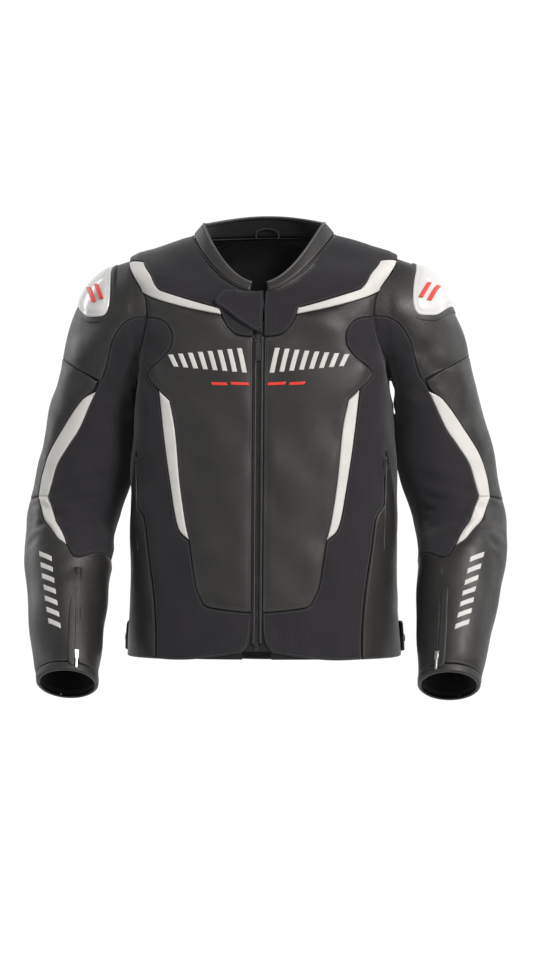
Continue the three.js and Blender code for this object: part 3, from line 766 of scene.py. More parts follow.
def keep(obj, body, slot, *nodes):
    """Records a finished piece: what it rides on, its material slot and the CAD nodes it replaces."""
    obj.name = obj.name.split(".")[0] + "_skin"
    PIECES.append((obj, body, slot, nodes))
    return obj


def bends(side):
    """Line across the elbow between the upper and lower arm, from above to below it."""
    elbow = np.array([side * ELBOW[0], *ELBOW[1:]])
    return row(elbow + (0, 0, 48)), row(elbow + (0, -0.54 * 52, -0.84 * 52))


# ---- creases ---------------------------------------------------------------------------------------
def crease(a, b, depth, width, side=0):
    """Adds a crease on one side, or on both."""
    for s in (1, -1) if side == 0 else (side,):
        CREASES.append(((s * a[0], a[1], a[2]), (s * b[0], b[1], b[2]), depth, width))


# On the sleeve: angle and ring of both ends, depth and half width.
for u0, v0, u1, v1, depth, width in (
        (120, 8.35, 60, 8.75, -2.2, 5), (135, 8.7, 70, 9.1, -2.8, 5), (140, 9.0, 60, 9.45, -2.4, 5),
        (120, 7.7, 70, 8.2, -1.4, 6), (40, 8.6, 95, 9.3, -1.5, 6), (130, 9.4, 40, 9.85, -1.8, 6),
        (20, 9.5, 90, 9.25, -1.2, 6), (35, 10.0, 100, 9.8, -1.2, 6), (60, 10.35, 110, 10.15, -1.0, 6),
        (110, 2.6, 70, 4.2, -1.2, 9), (95, 3.4, 60, 5.6, -1.0, 9), (125, 4.2, 90, 5.6, -1.3, 7),
        (20, 5.9, 60, 6.6, -0.9, 9), (10, 7.2, 50, 7.8, -0.9, 8),
        (200, 4.2, 160, 5.2, -1.6, 7), (230, 8.4, 200, 8.9, -1.6, 7), (310, 8.6, 240, 9.1, 1.4, 9)):
    crease(*SLEEVE.at([[u0, v0], [u1, v1]]), depth, width)
# On the body: both ends, depth, half width, and the side it is on, or 0 for both.
for a, b, depth, width, side in (
        ((140, -95, 330), (150, -60, 395), -1.4, 8, 0), ((120, -105, 372), (148, -78, 415), -1.1, 7, 0),
        ((60, -120, 30), (66, -120, 2), 1.2, 7, 0), ((30, -124, 34), (27, -125, 2), -1.0, 7, 0),
        ((100, -105, 60), (104, -105, 4), 1.1, 9, 0), ((132, -80, 110), (128, -85, 30), -1.0, 8, 0),
        ((70, -110, 250), (96, -103, 292), -0.8, 12, 1), ((40, -115, 130), (88, -104, 168), -0.7, 13, 1),
        ((64, -112, 205), (90, -104, 262), -0.8, 12, -1), ((30, -118, 90), (70, -110, 120), -0.7, 12, -1),
        ((80, -102, 452), (130, -90, 436), -0.9, 8, 0), ((0, 120, 420), (60, 118, 400), -0.9, 14, 0)):
    crease(a, b, depth, width, side)


# ---- torso panels ----------------------------------------------------------------------------------
def fronts(*points):
    return [body_uv(x, z) for x, z in points]


ZIP_X = 7.5
zip_side = [(ZIP_X, z) for z in (57, 120, 190, 260, 330, 390, 426)]
leather_bottom = [(ZIP_X, 57), (20, 57.5), (35, 59), (52, 61), (66, 63.5), (73, 68)]
leather_side = [(73, 68), (77, 76), (84, 95), (92.5, 152), (99, 180), (106.5, 232), (113, 300), (121, 342)]
stripe_top = [(121, 342), (136, 356)]
notch_low = [(136, 356), (148, 368), (153, 378)]
notch_in = [(153, 378), (138, 392), (127, 402), (119, 413), (117, 422)]
notch_up = [(117, 422), (118, 434), (126, 446), (138, 451.5), (151, 452.5)]
chest_low = [(98.5, 466), (75, 461), (52, 456.5)]
chest_edge = [(52, 456.5), (46, 446), (40, 437), (31, 429.5), (20, 427), (ZIP_X, 426)]
front_top = armhole(4, 21)
front_patch = body_patch(
    fronts(*leather_bottom), fronts(*leather_side), fronts(*stripe_top), fronts(*notch_low),
    fronts(*notch_in), fronts(*notch_up), front_top, [front_top[-1]] + fronts((98.5, 466)),
    fronts(*chest_low), fronts(*chest_edge), fronts(*reverse(zip_side)))
stripe_patch = body_patch(
    fronts((121, 341), (135, 354)),
    fronts((135, 354), (128.6, 296), (119, 228), (108.5, 172), (93, 154)),
    fronts((93, 154), (99, 180), (106.5, 232), (113, 300), (121, 341)), spacing=4.5)
chest_patch = body_patch(
    fronts((51, 457), (98.5, 466.6)), [body_uv(98.5, 466.6)] + armhole(22, 28, 3),
    armhole(28, 62, 5), [armhole_uv(62), body_uv(159, 527.3)],
    fronts((159, 527.3), (147.5, 508.5), (136, 489.5)),
    fronts((136, 489.5), (98.5, 477.5), (53, 465)), fronts((53, 465), (51, 457)),
    spacing=4.5, loops=FEW_LOOPS)
yoke_patch = body_patch(
    fronts((ZIP_X, 427), (20, 428), (31, 430.5), (40, 438), (46, 447), (51, 458)),
    fronts((51, 458), (53.5, 466)), fronts((53.5, 466), (98.5, 478.3), (136, 490.3)),
    fronts((136, 490.3), (148, 509), (159.6, 528)), [body_uv(159.6, 528), armhole_uv(63)],
    armhole(63, 96, 5), [armhole_uv(96), (92, 8.9)], [(92, 8.9), (93, 9.8), (94, 10.9)],
    [(94, 10.9), (75, 10.9), (50, 10.9), (30, 10.9), (15, 10.9), (5.5, 10.9)],
    [(5.5, 10.9), body_uv(ZIP_X, 470), body_uv(ZIP_X, 450), body_uv(ZIP_X, 427)])

FLANK_U = 116                             # rear edge of the flanks
lens_front = [(60, 3.4), (59.2, 3.0), (59.6, 2.6)]
lens_front += fronts((156, 183), (150, 140), (143, 90), (139, 45), (138, 14))
lens_front.append((lens_front[-1][0], 0.0))
lens_rear = [(94, 0.0), (89, 0.5), (84.5, 1.0), (86.5, 1.6), (88, 2.0), (82, 2.35), (75, 2.65), (66, 3.1),
             (61, 3.4)]
flank_patch = body_patch(
    fronts((ZIP_X, 50), (8.5, 30), (12, 15), (22, 2)), [body_uv(22, 2), (30, 0), lens_front[-1]],
    reverse(lens_front), [(60, 3.4), (61, 3.4)], reverse(lens_rear), [(94, 0), (105, 0), (FLANK_U, 0)],
    [(FLANK_U, v) for v in (0, 0.8, 1.6, 2.4, 3.2, 4.2, 5.06)],
    [(FLANK_U, 5.06), armhole_uv(172, ARMHOLE_R + 1)], armhole(172, -40, 8), armhole(-40, 3, 8),
    [armhole_uv(3)] + fronts((150, 451.5)), fronts(*reverse(notch_up)), fronts(*reverse(notch_in)),
    fronts(*reverse(notch_low)), fronts((136, 356), (128.6, 296), (119, 228), (108.5, 170), (92.5, 151)),
    fronts((92.5, 151), (84, 95), (77, 76), (73, 67)),
    fronts((73, 67), (66, 62.5), (52, 60), (35, 58), (20, 56.5), (ZIP_X, 56)))
lens_patch = body_patch(
    [(u + 0.7, v) for u, v in lens_front[1:]],
    [(lens_front[-1][0] + 0.7, 0.0), (70, 0.0), (93.3, 0.0)],
    [(u - 0.7, v) for u, v in lens_rear[:-1]] + [(60.6, 3.25)],
    [(60.6, 3.25), (lens_front[1][0] + 0.7, 3.0)])

STRIPE = dict(thick=1.6, roll=1.6, puff=0.5, reach=4, swell=0.1)
TORSO_PANELS = (
    ("front_leather", front_patch, LEATHER, "black_leather",
     dict(puff=1.6, reach=20, swell=1.5, grooves=((3.0, 0.35),), seams=(2.3, 4.6))),
    ("side_stripe", stripe_patch, WHITE, "white_leather", STRIPE),
    ("chest_stripe", chest_patch, WHITE, "white_leather",
     dict(base=0.4, thick=2.0, roll=1.4, puff=0.2, reach=4, swell=0.1)),
    ("yoke", yoke_patch, TEXTILE, "stretch_textile", dict(thick=1.7, puff=0.6, swell=1.4, seams=(2.3,))),
    ("flank_textile", flank_patch, TEXTILE, "stretch_textile",
     dict(base=-0.5, puff=0.5, swell=1.8, seams=(2.3,))),
    ("side_panel", lens_patch, LEATHER, "black_leather", dict(puff=1.8, reach=20, swell=0.7, seams=(2.3,))),
)
for side, word in SIDES:
    for name, patch, material, slot, style in TORSO_PANELS:
        name = f"{name}_{word}"
        keep(panel(name, patch, side, material, key="body", **style), "body", slot, name)


# ---- plain printed graphics ------------------------------------------------------------------------
def across_front(x, z):
    """Place on the front, on either side of the middle."""
    u, v = body_uv(abs(x), z)
    return math.copysign(u, x) if x else u, v


def print_mark(name, corners, material, side, find=across_front, surface=BODY, height=1.95, swell=1.5):
    """Thin slanted bar printed on the leather."""
    points = [find(*c) for c in corners]
    loop = outline(surface, *[[points[i], points[(i + 1) % 4]] for i in range(4)])
    patch = Patch(surface, loop, spacing=4.0, loops=(0.45, 1.1))

    def follow(uv, d, points):
        """The leather's own swelling and creases, right up to the mark's edge."""
        return waves(points, swell) + crease_field(points) * (1 - np.clip(d / 4, 0.15, 1))

    return panel(name, patch, side, material, base=height, thick=0.5, roll=0.4, puff=0.05, reach=1,
                 swell=0.0, skirt=1.2, extra=follow)


for side, word in SIDES:
    marks = []
    for i in range(8):
        x, top = 15 + 13.2 * i, 411 - 1.2 * i
        tall = 33 - 2.4 * i
        corners = [(x, top - tall), (x + 6.6, top - tall), (x + 14, top), (x + 7.4, top)]
        marks.append(print_mark(f"bar_{word}_{i}", corners, WHITE, side))
    for x0, x1 in ((12, 36), (41, 62)):
        corners = [(x0, 361), (x1, 361.8), (x1 + 1.6, 366), (x0 + 1.6, 365)]
        marks.append(print_mark(f"line_{word}_{x0}", corners, RED, side))
    keep(join_objects(f"chest_graphic_{word}", marks), "body", "white_leather")


# ---- back panels -----------------------------------------------------------------------------------
BACK_U = 116.4                            # where the back panels meet the flanks


def both_halves(half):
    """Closes an outline of the left half of the back with its mirror image."""
    half = np.array(half, float)
    other = half[::-1].copy()
    other[:, 0] = 360 - other[:, 0]
    return np.vstack([half, other[1:-1] if np.allclose(half[0, 0], 180) else other])


def back_panel(name, curves, material, slot, **style):
    half = np.vstack([spline(c, BODY)[(1 if i else 0):] for i, c in enumerate(curves)])
    patch = Patch(BODY, both_halves(half), spacing=style.pop("spacing", PANEL_SPACING))
    return keep(panel(name, patch, 1, material, key="body", **style), "body", slot, name)


upper_low = [(180, 5.35), (160, 5.3), (140, 5.1), (BACK_U, 5.12)]
back_panel("back_upper", [
    upper_low, [(BACK_U, 5.12), armhole_uv(171, 85)], armhole(171, 97, 6, 85),
    [armhole_uv(97, 85), (92.8, 8.9), (93.8, 9.8), (94.8, 10.9)], [(94.8, 10.9), (130, 10.9), (180, 10.9)]],
    LEATHER, "black_leather", puff=1.2, seams=(2.3, 4.6))
back_panel("back_middle", [
    [(180, 3.65), (150, 3.53), (BACK_U, 3.25)], [(BACK_U, 3.25), (BACK_U, 4.3), (BACK_U, 5.08)],
    [(BACK_U, 5.08), (140, 5.06), (160, 5.26), (180, 5.31)]],
    LEATHER, "black_leather", puff=1.0, seams=(2.3,))


def rib_rows(uv, d, points):
    """Accordion pleats across the back."""
    return 1.5 * np.abs(np.sin((uv[:, 1] - 2.2) / 1.2 * 9 * math.pi)) * np.clip(d / 5, 0, 1)


back_panel("back_stretch", [
    [(180, 1.97), (150, 2.12), (BACK_U, 2.42)], [(BACK_U, 2.42), (BACK_U, 2.8), (BACK_U, 3.22)],
    [(BACK_U, 3.22), (150, 3.5), (180, 3.62)]], TEXTILE, "stretch_textile", spacing=3.2, puff=0.3,
    base=-0.6, extra=rib_rows)
back_panel("back_lower", [
    [(180, 0.19), (150, 0.19), (BACK_U, 0.19)], [(BACK_U, 0.19), (BACK_U, 1.2), (BACK_U, 2.39)],
    [(BACK_U, 2.39), (150, 2.09), (180, 1.94)]], LEATHER, "black_leather", puff=1.2, seams=(2.3, 4.6))
back_panel("hem_back", [
    [(180, 0.0), (150, 0.0), (BACK_U, 0.0)], [(BACK_U, 0.0), (BACK_U, 0.17)],
    [(BACK_U, 0.17), (150, 0.17), (180, 0.17)]], LEATHER, "black_leather", spacing=4.0, puff=0.8,
    seams=(3.0,), base=0.3)

# ---- inside of the body ----------------------------------------------------------------------------
inner_angles = np.linspace(6, 354, 117)
UNDER, LINED = -3.6, -7.6                 # depths of the panels' backs and of the lining


def open_armholes(obj):
    """Removes the faces of an inner layer that would close the armholes."""
    bm = bmesh.new()
    bm.from_mesh(obj.data)
    centre = row((0, ARMHOLE_Y, ARMHOLE_Z))
    reach = (ARMHOLE_R + 1.5) / 1000
    middles = [(f, f.calc_center_median()) for f in bm.faces]
    gone = [f for f, m in middles
            if abs(m.x) > 0.12 and math.hypot(m.y - centre[1], m.z - centre[2]) < reach]
    bmesh.ops.delete(bm, geom=gone, context="FACES")
    bm.to_mesh(obj.data)
    bm.free()


def hem_fold_at(uv):
    """Turned hem between the panels' backs and the lining."""
    v0, v1, h0, h1 = 0.03, 0.06, UNDER, LINED
    ring = BODY.lifted(np.stack([uv[:, 0], v0 + (v1 - v0) * uv[:, 1]], 1), 0)
    return ring + BODY.normal(uv * [1, 0] + [0, 0.05]) * (h0 + (h1 - h0) * uv[:, 1:2])


under = grid_mesh("body_under", lambda uv: BODY.lifted(uv, UNDER), inner_angles,
                  np.linspace(0.03, 10.97, 60), LINING)
lining = grid_mesh("body_lining", lambda uv: BODY.lifted(uv, LINED + 0.5 * np.sin(uv[:, :1] * 0.6)),
                   inner_angles, np.linspace(0.06, 10.95, 60), LINING)
hem_fold = grid_mesh("hem_fold", hem_fold_at, inner_angles, [0, 1], LINING)
open_armholes(under)
open_armholes(lining)
keep(join_objects("body_lining", [lining, under, hem_fold]), "body", "lining_cloth", "body_lining")


def hanger_at(uv):
    """Upright plane through the hanger loop."""
    return np.stack([uv[:, 0] - 15, np.full(len(uv), HANGER[1]), 562 + uv[:, 1]], 1)


loop_line = hanger_at(spline([(0, 0), (1, 9), (15, 13.2), (29, 9), (30, 0)], Surface(hanger_at), 1.5))
keep(tube("hanger_loop", loop_line, 1.0, TAPE), "body", "lining_cloth", "hanger_loop")

# ---- collar ----------------------------------------------------------------------------------------
COLLAR_START, COLLAR_END = 6.8, 353.2
collar_round = (COLLAR_START, 90, 180, 270, COLLAR_END)
collar_edges = ([(u, 0.06) for u in collar_round], [(COLLAR_END, 0.06), (COLLAR_END, 0.93)],
                [(u, 0.93) for u in reversed(collar_round)], [(COLLAR_START, 0.93), (COLLAR_START, 0.06)])
collar_loop = np.vstack([spline(edge, COLLAR)[:-1] for edge in collar_edges])
collar_patch = Patch(COLLAR, collar_loop, spacing=5.0)
collar_parts = [panel("collar_outer", collar_patch, 1, LEATHER, base=0.3, puff=0.9, reach=6, swell=0.4,
                      seams=(2.3,), key="body")]
ring = np.linspace(COLLAR_START, COLLAR_END, 150)
top_line = COLLAR.lifted(np.stack([ring, np.full(150, 0.96)], 1), -0.6)
low_line = BODY.lifted(np.stack([ring, np.full(150, 10.97)], 1), -0.1)
collar_parts.append(tube("collar_piping", top_line, 1.7, PIPING, sides=10))
collar_parts.append(grid_mesh("collar_inside", lambda uv: COLLAR.lifted(uv, -3.4), ring,
                              np.linspace(0.0, 0.97, 7), LINING))
collar_parts.append(tube("collar_seam", low_line, 1.0, LEATHER))


def neck_bridge(uv):
    """Facing between the body's inner layer and the collar's inside."""
    low = BODY.lifted(np.stack([uv[:, 0], np.full(len(uv), 10.7)], 1), -3.8)
    high = COLLAR.lifted(np.stack([uv[:, 0], np.full(len(uv), 0.12)], 1), -3.9)
    return low + (high - low) * uv[:, 1:2]


collar_parts.append(grid_mesh("neck_facing", neck_bridge, ring, [0, 0.5, 1], LINING))
keep(join_objects("collar", collar_parts), "body", "black_leather", "collar")


flap_edges = (((5.8, 431.5), (-2, 434), (-9, 437.5), (-33, 454), (-56, 470)),
              ((-56, 470), (-59, 473.5), (-57, 478), (-48, 487.5), (-45, 489)),
              ((-45, 489), (-20, 488), (5.8, 488)), ((5.8, 488), (5.8, 460), (5.8, 431.5)))
flap_patch = body_patch(*[[across_front(*p) for p in edge] for edge in flap_edges], spacing=4.0)


def flap_lift(uv, d, points):
    """The free lower corner stands slightly away from the chest."""
    return 3.2 * np.clip((6 - points[:, 0]) / 62, 0, 1) ** 2 + 0.9


keep(panel("neck_flap", flap_patch, 1, TEXTILE, base=2.0, thick=1.2, roll=1.2, puff=0.3, swell=0.2,
           seams=(3.0,), key="flap", extra=flap_lift, closed=1.3), "flap", "stretch_textile", "neck_flap")


# ---- main zip --------------------------------------------------------------------------------------
def box_part(low, high):
    """Small box with chamfered edges: vertices and faces."""
    low, high = np.array(low, float), np.array(high, float)
    bevel = np.minimum(0.3, (high - low) * 0.3)
    index, verts, faces = {}, [], []
    for corner in product((0, 1), repeat=3):
        tip = np.where(corner, high, low)
        for axis in range(3):
            p = tip + np.where(corner, -bevel, bevel)
            p[axis] = tip[axis]
            index[(*corner, axis)] = len(verts)
            verts.append(p)

    def spot(places, axis):
        """The vertex at a corner, given by axis, that lies on the face across one axis."""
        return index[(places[0], places[1], places[2], axis)]

    for corner in product((0, 1), repeat=3):
        faces.append(tuple(index[(*corner, k)] for k in range(3)))
    for axis, o1, o2 in ((0, 1, 2), (1, 0, 2), (2, 0, 1)):
        for s in (0, 1):
            faces.append(tuple(spot({axis: s, o1: a, o2: b}, axis)
                               for a, b in ((0, 0), (1, 0), (1, 1), (0, 1))))
        for a, b in product((0, 1), repeat=2):
            faces.append(tuple(spot({axis: end, o1: a, o2: b}, across)
                               for end, across in ((0, o1), (0, o2), (1, o2), (1, o1))))
    return verts, faces


class Place:
    """Own axes of a zip: X across, Y outward, Z up, origin at its top."""

    def __init__(self, top, bottom, outward):
        up = (np.array(top) - bottom) / np.linalg.norm(np.array(top) - bottom)
        out = outward - up * (outward @ up)
        self.up, self.out = up, out / np.linalg.norm(out)
        self.across = np.cross(self.out, up)
        self.top = np.array(top, float)
        self.length = np.linalg.norm(np.array(top) - bottom)

    def __call__(self, p):
        p = np.atleast_2d(np.asarray(p, float))
        return self.top + p[:, :1] * self.across + p[:, 1:2] * self.out + p[:, 2:3] * self.up


def solids(name, place, parts, material, side=1):
    """One object from many (low, high) boxes in a zip's own axes."""
    verts, faces = [], []
    for low, high in parts:
        v, f = box_part(low, high)
        base = len(verts)
        verts += list(v)
        faces += [tuple(base + i for i in face) for face in f]
    points = on_side(place(verts), side)
    uv = np.asarray(verts)[:, [0, 2]]
    obj = mesh_object(name, points, flipped(faces, side), material, uv, smooth=False)
    bm = bmesh.new()
    bm.from_mesh(obj.data)
    bmesh.ops.recalc_face_normals(bm, faces=bm.faces)
    bm.to_mesh(obj.data)
    bm.free()
    return obj


def teeth_parts(length, half, pitch=2.4, depth=(-3.6, -2.0), sides=(1, -1)):
    """Boxes of a zip's teeth, those of the two rows half a pitch apart."""
    parts = []
    for s in sides:
        shift = pitch / 2 if s < 0 else 0
        for z in np.arange(1 + shift, length - 1, pitch):
            low, high = sorted((s * 0.15, s * half))
            parts.append(((low, depth[0], -z - pitch * 0.32), (high, depth[1], -z + pitch * 0.32)))
    return parts


front_zip = Place((0, front_y(440), 440), (0, front_y(12), 12), np.array([0, -1.0, 0]))
for side, word in SIDES:
    length = front_zip.length
    parts = [solids(f"teeth_{word}", front_zip, teeth_parts(length, 2.6, sides=(1,)), TEETH, side),
             solids(f"tape_{word}", front_zip, [((1.0, -4.4, -length), (16, -3.6, 0))], TAPE, side)]
    if side > 0:
        loop = outline(BODY, fronts((2.9, 16), (2.9, 200), (2.9, 427)), fronts((2.9, 427), (7.2, 427)),
                       fronts((7.2, 427), (7.2, 200), (7.2, 14)), fronts((7.2, 14), (2.9, 16)))
        material, base = LEATHER, 0.0
    else:
        line = BODY.lifted([body_uv(3.4, z) for z in np.linspace(14, 427, 60)], -0.4)
        parts.append(tube("edge_piping", line, 0.7, PIPING, side=side))
        loop = outline(BODY, fronts((4.4, 16), (4.4, 427)), fronts((4.4, 427), (7.2, 427)),
                       fronts((7.2, 427), (7.2, 14)), fronts((7.2, 14), (4.4, 16)))
        material, base = TEXTILE, -0.4
    strip = Patch(BODY, loop, spacing=3.0, loops=(0.45, 1.1))
    parts.append(panel("placket", strip, side, material, base=base, thick=1.2, roll=1.2, puff=0.2, reach=2,
                       swell=0.1))
    keep(join_objects(f"zip_tape_{word}", parts), "body", "zip_tape", f"zip_tape_{word}")

slider_place = Place(front_zip([0, 0, -16])[0], front_zip([0, 0, -60])[0], front_zip.out)
keep(solids("zip_slider", slider_place, [
    ((-4.2, -2.4, -12), (4.2, -0.9, 0)), ((-3.2, -2.4, -14), (3.2, -0.9, -11.9)),
    ((-4.2, -7.2, -12), (4.2, -5.6, 0)), ((-0.45, -6, -7), (0.45, -2, -1)),
    ((-3.1, -1, -5), (-1.9, 1.8, -1)), ((1.9, -1, -5), (3.1, 1.8, -1))], BLACK_METAL),
    "main_slider", "zip_metal", "zip_slider")
keep(solids("zip_puller", slider_place, [
    ((-3.3, 0.1, -3.5), (3.3, 1.1, -2.5)), ((-1.5, 0, -9), (1.5, 1.2, -2.4)),
    ((-3.6, 0, -32), (-1.6, 1.2, -8.6)), ((1.6, 0, -32), (3.6, 1.2, -8.6)),
    ((-3.6, 0, -34), (3.6, 1.2, -31.5)), ((-3.6, 0, -12), (3.6, 1.2, -8.6)),
    ((-1.8, 0.3, -31.6), (1.8, 0.9, -11.9))], BLACK_METAL), "main_puller", "zip_metal", "zip_puller")

# ---- side pockets and waist tabs -------------------------------------------------------------------
POCKET_U, POCKET_LOW, POCKET_HIGH = 59, 1.9, 3.3
pocket_bottom, pocket_top = BODY.at([(POCKET_U, POCKET_LOW), (POCKET_U, POCKET_HIGH)])
pocket_place = Place(pocket_top, pocket_bottom, BODY.normal([(POCKET_U, 2.6)])[0])
pocket_pull = (((-2.3, -2.8, -9), (2.3, -1.2, 0)), ((-1.4, -1.6, -6), (1.4, 1.2, -3)),
               ((-2.4, 0.0, -13), (2.4, 1.2, -4)), ((-1.5, 0.0, -26), (1.5, 1.0, -12.8)))
waist_patch = body_patch(
    [(90, 0.16), (97, 0.13), (FLANK_U, 0.14)], [(FLANK_U, 0.14), (FLANK_U, 0.68)],
    [(FLANK_U, 0.68), (97, 0.7), (90, 0.66)], [(90, 0.66), (88.8, 0.42), (90, 0.16)], spacing=4.5)


def tab_bulge(uv, d, points):
    """The tab stands further off towards its free end."""
    return 1.6 * np.clip((FLANK_U - uv[:, 0]) / 26, 0, 1)


def snap(name, centre, normal, material):
    """Domed press stud."""
    radius, height, count = 5.0, 1.6, 28
    n = normal / np.linalg.norm(normal)
    e1 = np.cross(n, [0.2, 0.1, 1.0])
    e1 /= np.linalg.norm(e1)
    e2 = np.cross(n, e1)
    rings = ((1.0, 0.0), (0.98, 0.45), (0.86, 0.75), (0.72, 0.62), (0.5, 0.8), (0.25, 0.95), (0.06, 1.0))
    disc = circle(count, e1, e2)
    verts = np.vstack([centre + radius * r * disc + n * height * h for r, h in rings])
    faces = quads(len(rings), count, True)
    faces.append(tuple(range(len(verts) - count, len(verts))))
    return mesh_object(name, verts, faces, material, verts[:, [0, 2]])


for side, word in SIDES:
    line = [(POCKET_U + 1.1, v) for v in np.linspace(POCKET_LOW, POCKET_HIGH, 40)]
    parts = [solids(f"pocket_teeth_{word}", pocket_place,
                    teeth_parts(pocket_place.length, 2.0, 2.0, (-3.0, -1.7)), TEETH, side),
             solids(f"pocket_tape_{word}", pocket_place,
                    [((-8, -4.6, -pocket_place.length - 2), (8, -3.9, 2))], TAPE, side),
             tube(f"pocket_edge_{word}", BODY.lifted(line, 0.3), 0.9, PIPING, side=side)]
    keep(join_objects(f"pocket_zip_{word}", parts), "body", "zip_tape", f"pocket_zip_{word}")
    keep(solids(f"pocket_slider_{word}", pocket_place, pocket_pull, BLACK_METAL, side),
         f"pocket_pull_{word}", "zip_metal", f"pocket_slider_{word}")
    tab = panel(f"tab_{word}", waist_patch, side, LEATHER, base=3.6, thick=1.6, roll=1.6, puff=0.5, reach=6,
                swell=0.2, seams=(3.0,), key=f"waist_strap_{word}", extra=tab_bulge, closed=1.2)
    spot = [(94, 0.41)]
    stud = snap(f"stud_{word}", on_side(BODY.lifted(spot, 5.6)[0], side),
                on_side(BODY.normal(spot)[0], side), BLACK_METAL)
    keep(join_objects(f"waist_tab_{word}", [tab, stud]), f"waist_strap_{word}", "stretch_textile",
         f"waist_tab_{word}")


# ---- sleeves ---------------------------------------------------------------------------------------
def arms(*points):
    return [arm_uv(x, z) for x, z in points]


BACK_PHI = -138                           # angle of the seam along the back of the sleeve
INNER_PHI = BACK_PHI + 360                # the same seam, met from the other way round
SEAM_GAP = 0.02
textile_top = arms((152, 453), (174, 451), (187.5, 442), (200, 421), (206, 398), (212, 376), (220, 363))
seam_start = textile_top[0][0]
textile_top[0] = (seam_start, sleeve_seam(seam_start) + SEAM_GAP)
split = arms((220, 369), (245, 381.5), (262, 391.5), (272, 398))
split_back = [split[-1], (-20, 5.15), (-60, 5.05), (-100, 4.9), (BACK_PHI, 4.8)]


def elbow_seam(phi0, phi1):
    """Seam round the elbow, between two angles."""
    track = ([-138, -90, -40, 0, 30, 70], [8.8, 8.75, 8.55, 8.42, 8.36, 8.4])
    return [(p, float(np.interp(p, *track))) for p in np.linspace(phi0, phi1, 9)]


def seam_line(phi0, phi1):
    """The sleeve's own edge at the armhole seam."""
    count = int(abs(phi1 - phi0) / 12) + 2
    return [(p, sleeve_seam(p) + SEAM_GAP) for p in np.linspace(phi0, phi1, count)]


phi_out, phi_in = 41.0, 58.0              # where the white stripe's two edges cross the elbow seam
stripe_out = arms((241, 343.5), (268, 306), (291, 266), (300, 236))
stripe_out.append(elbow_seam(phi_out, phi_out)[0])
low_out = [elbow_seam(phi_out, phi_out)[0]] + arms((299, 196), (291, 177), (277, 160), (262, 148))
stripe_in = arms((224, 352), (244, 309), (262, 281), (278, 255), (286, 228))
stripe_in.append(elbow_seam(phi_in, phi_in)[0])
low_in = [elbow_seam(phi_in, phi_in)[0]] + arms((283, 193), (274.7, 174), (262, 148))
textile_low = arms((261, 147), (252, 133), (236, 133), (217, 137))
textile_low += [(180, 9.85), (INNER_PHI, 9.74)]

back_edge = [(BACK_PHI, v) for v in (4.8, 3.0, 1.2, sleeve_seam(BACK_PHI) + SEAM_GAP)]
upper_patch = sleeve_patch(
    textile_top + [split[0]], split, split_back, back_edge, seam_line(BACK_PHI, seam_start))
outer_patch = sleeve_patch(
    [arm_uv(221, 366)] + split[1:], split_back, [(BACK_PHI, 4.8), (BACK_PHI, 6.5), (BACK_PHI, 8.8)],
    elbow_seam(BACK_PHI, phi_out), reverse(stripe_out), [stripe_out[0], arm_uv(228, 354), arm_uv(221, 366)])
sleeve_stripe_patch = sleeve_patch(
    stripe_in, elbow_seam(phi_in, phi_out), reverse(stripe_out), [stripe_out[0], stripe_in[0]],
    spacing=4.5)
low_stripe_patch = sleeve_patch(
    low_in, reverse(low_out), elbow_seam(phi_out, phi_in), spacing=4.5)
sleeve_textile_patch = sleeve_patch(
    textile_top + [stripe_in[0]], stripe_in, low_in, textile_low,
    [(INNER_PHI, v) for v in (9.74, 8.8, 6.5, 4.8, 2.8, sleeve_seam(INNER_PHI) + SEAM_GAP)],
    seam_line(INNER_PHI, seam_start))
CUFF_W, HEM_W = 10.93, 10.995             # rings of the cuff's seam and edge
forearm_patch = sleeve_patch(
    elbow_seam(phi_out, BACK_PHI), [(BACK_PHI, 8.8), (BACK_PHI, 9.7), (BACK_PHI, CUFF_W)],
    [(p, CUFF_W) for p in np.linspace(BACK_PHI, INNER_PHI, 25)],
    [(INNER_PHI, CUFF_W), (INNER_PHI, 10.3), (INNER_PHI, 9.76)],
    reverse(textile_low), reverse(low_out))
cuff_seam = CUFF_W + 0.004
cuff_patch = sleeve_patch(
    [(p, cuff_seam) for p in np.linspace(-70, 289, 30)], [(289, cuff_seam), (289, HEM_W)],
    [(p, HEM_W) for p in np.linspace(289, -70, 30)], [(-70, HEM_W), (-70, cuff_seam)],
    spacing=4.0, loops=FEW_LOOPS)
cuff_band = sleeve_patch(
    [(101, 10.34), (104, 10.32), (110.5, 10.33)], [(110.5, 10.33), (110.8, 10.7), (111, 10.95)],
    [(111, 10.95), (105, 10.97), (99, 10.95)], [(99, 10.95), (97.5, 10.9), (98, 10.7), (101, 10.34)],
    spacing=4.0, loops=FEW_LOOPS)
half_cup = arms((204, 514), (203, 497), (203, 474), (207, 459.5), (215, 454), (229, 453.5), (238, 456.5),
                (248, 464))
cup_front = [(0.0, 2.03), (16, 2.0)] + half_cup + [(0.0, 3.76)]
cup_dense = spline(cup_front, SLEEVE)
cup_loop = np.vstack([cup_dense, (cup_dense * [-1, 1])[::-1][1:-1]])
cup_patch = Patch(SLEEVE, cup_loop, spacing=5.0, loops=(0.6, 1.5, 2.6, 4.0, 5.5, 7.0))


def grown(patch, distance):
    """The outline of a patch moved outwards."""
    return (patch.edge - inward_of(patch.edge) * distance) / patch.scale


cup_border = Patch(SLEEVE, grown(cup_patch, 6.5), spacing=5.0, loops=(0.45, 1.1, 2.0, 3.0))


def cup_shape(uv, d, points):
    """Flat rim, a step up to the raised middle and a shallow channel along it."""
    step = 1 / (1 + np.exp(-(d - 5.6) * 1.5))
    channel = np.exp(-((np.abs(uv[:, 0]) - 17) / 3.2) ** 2) * np.clip((d - 7) / 5, 0, 1)
    return 1.7 * step - 0.8 * channel


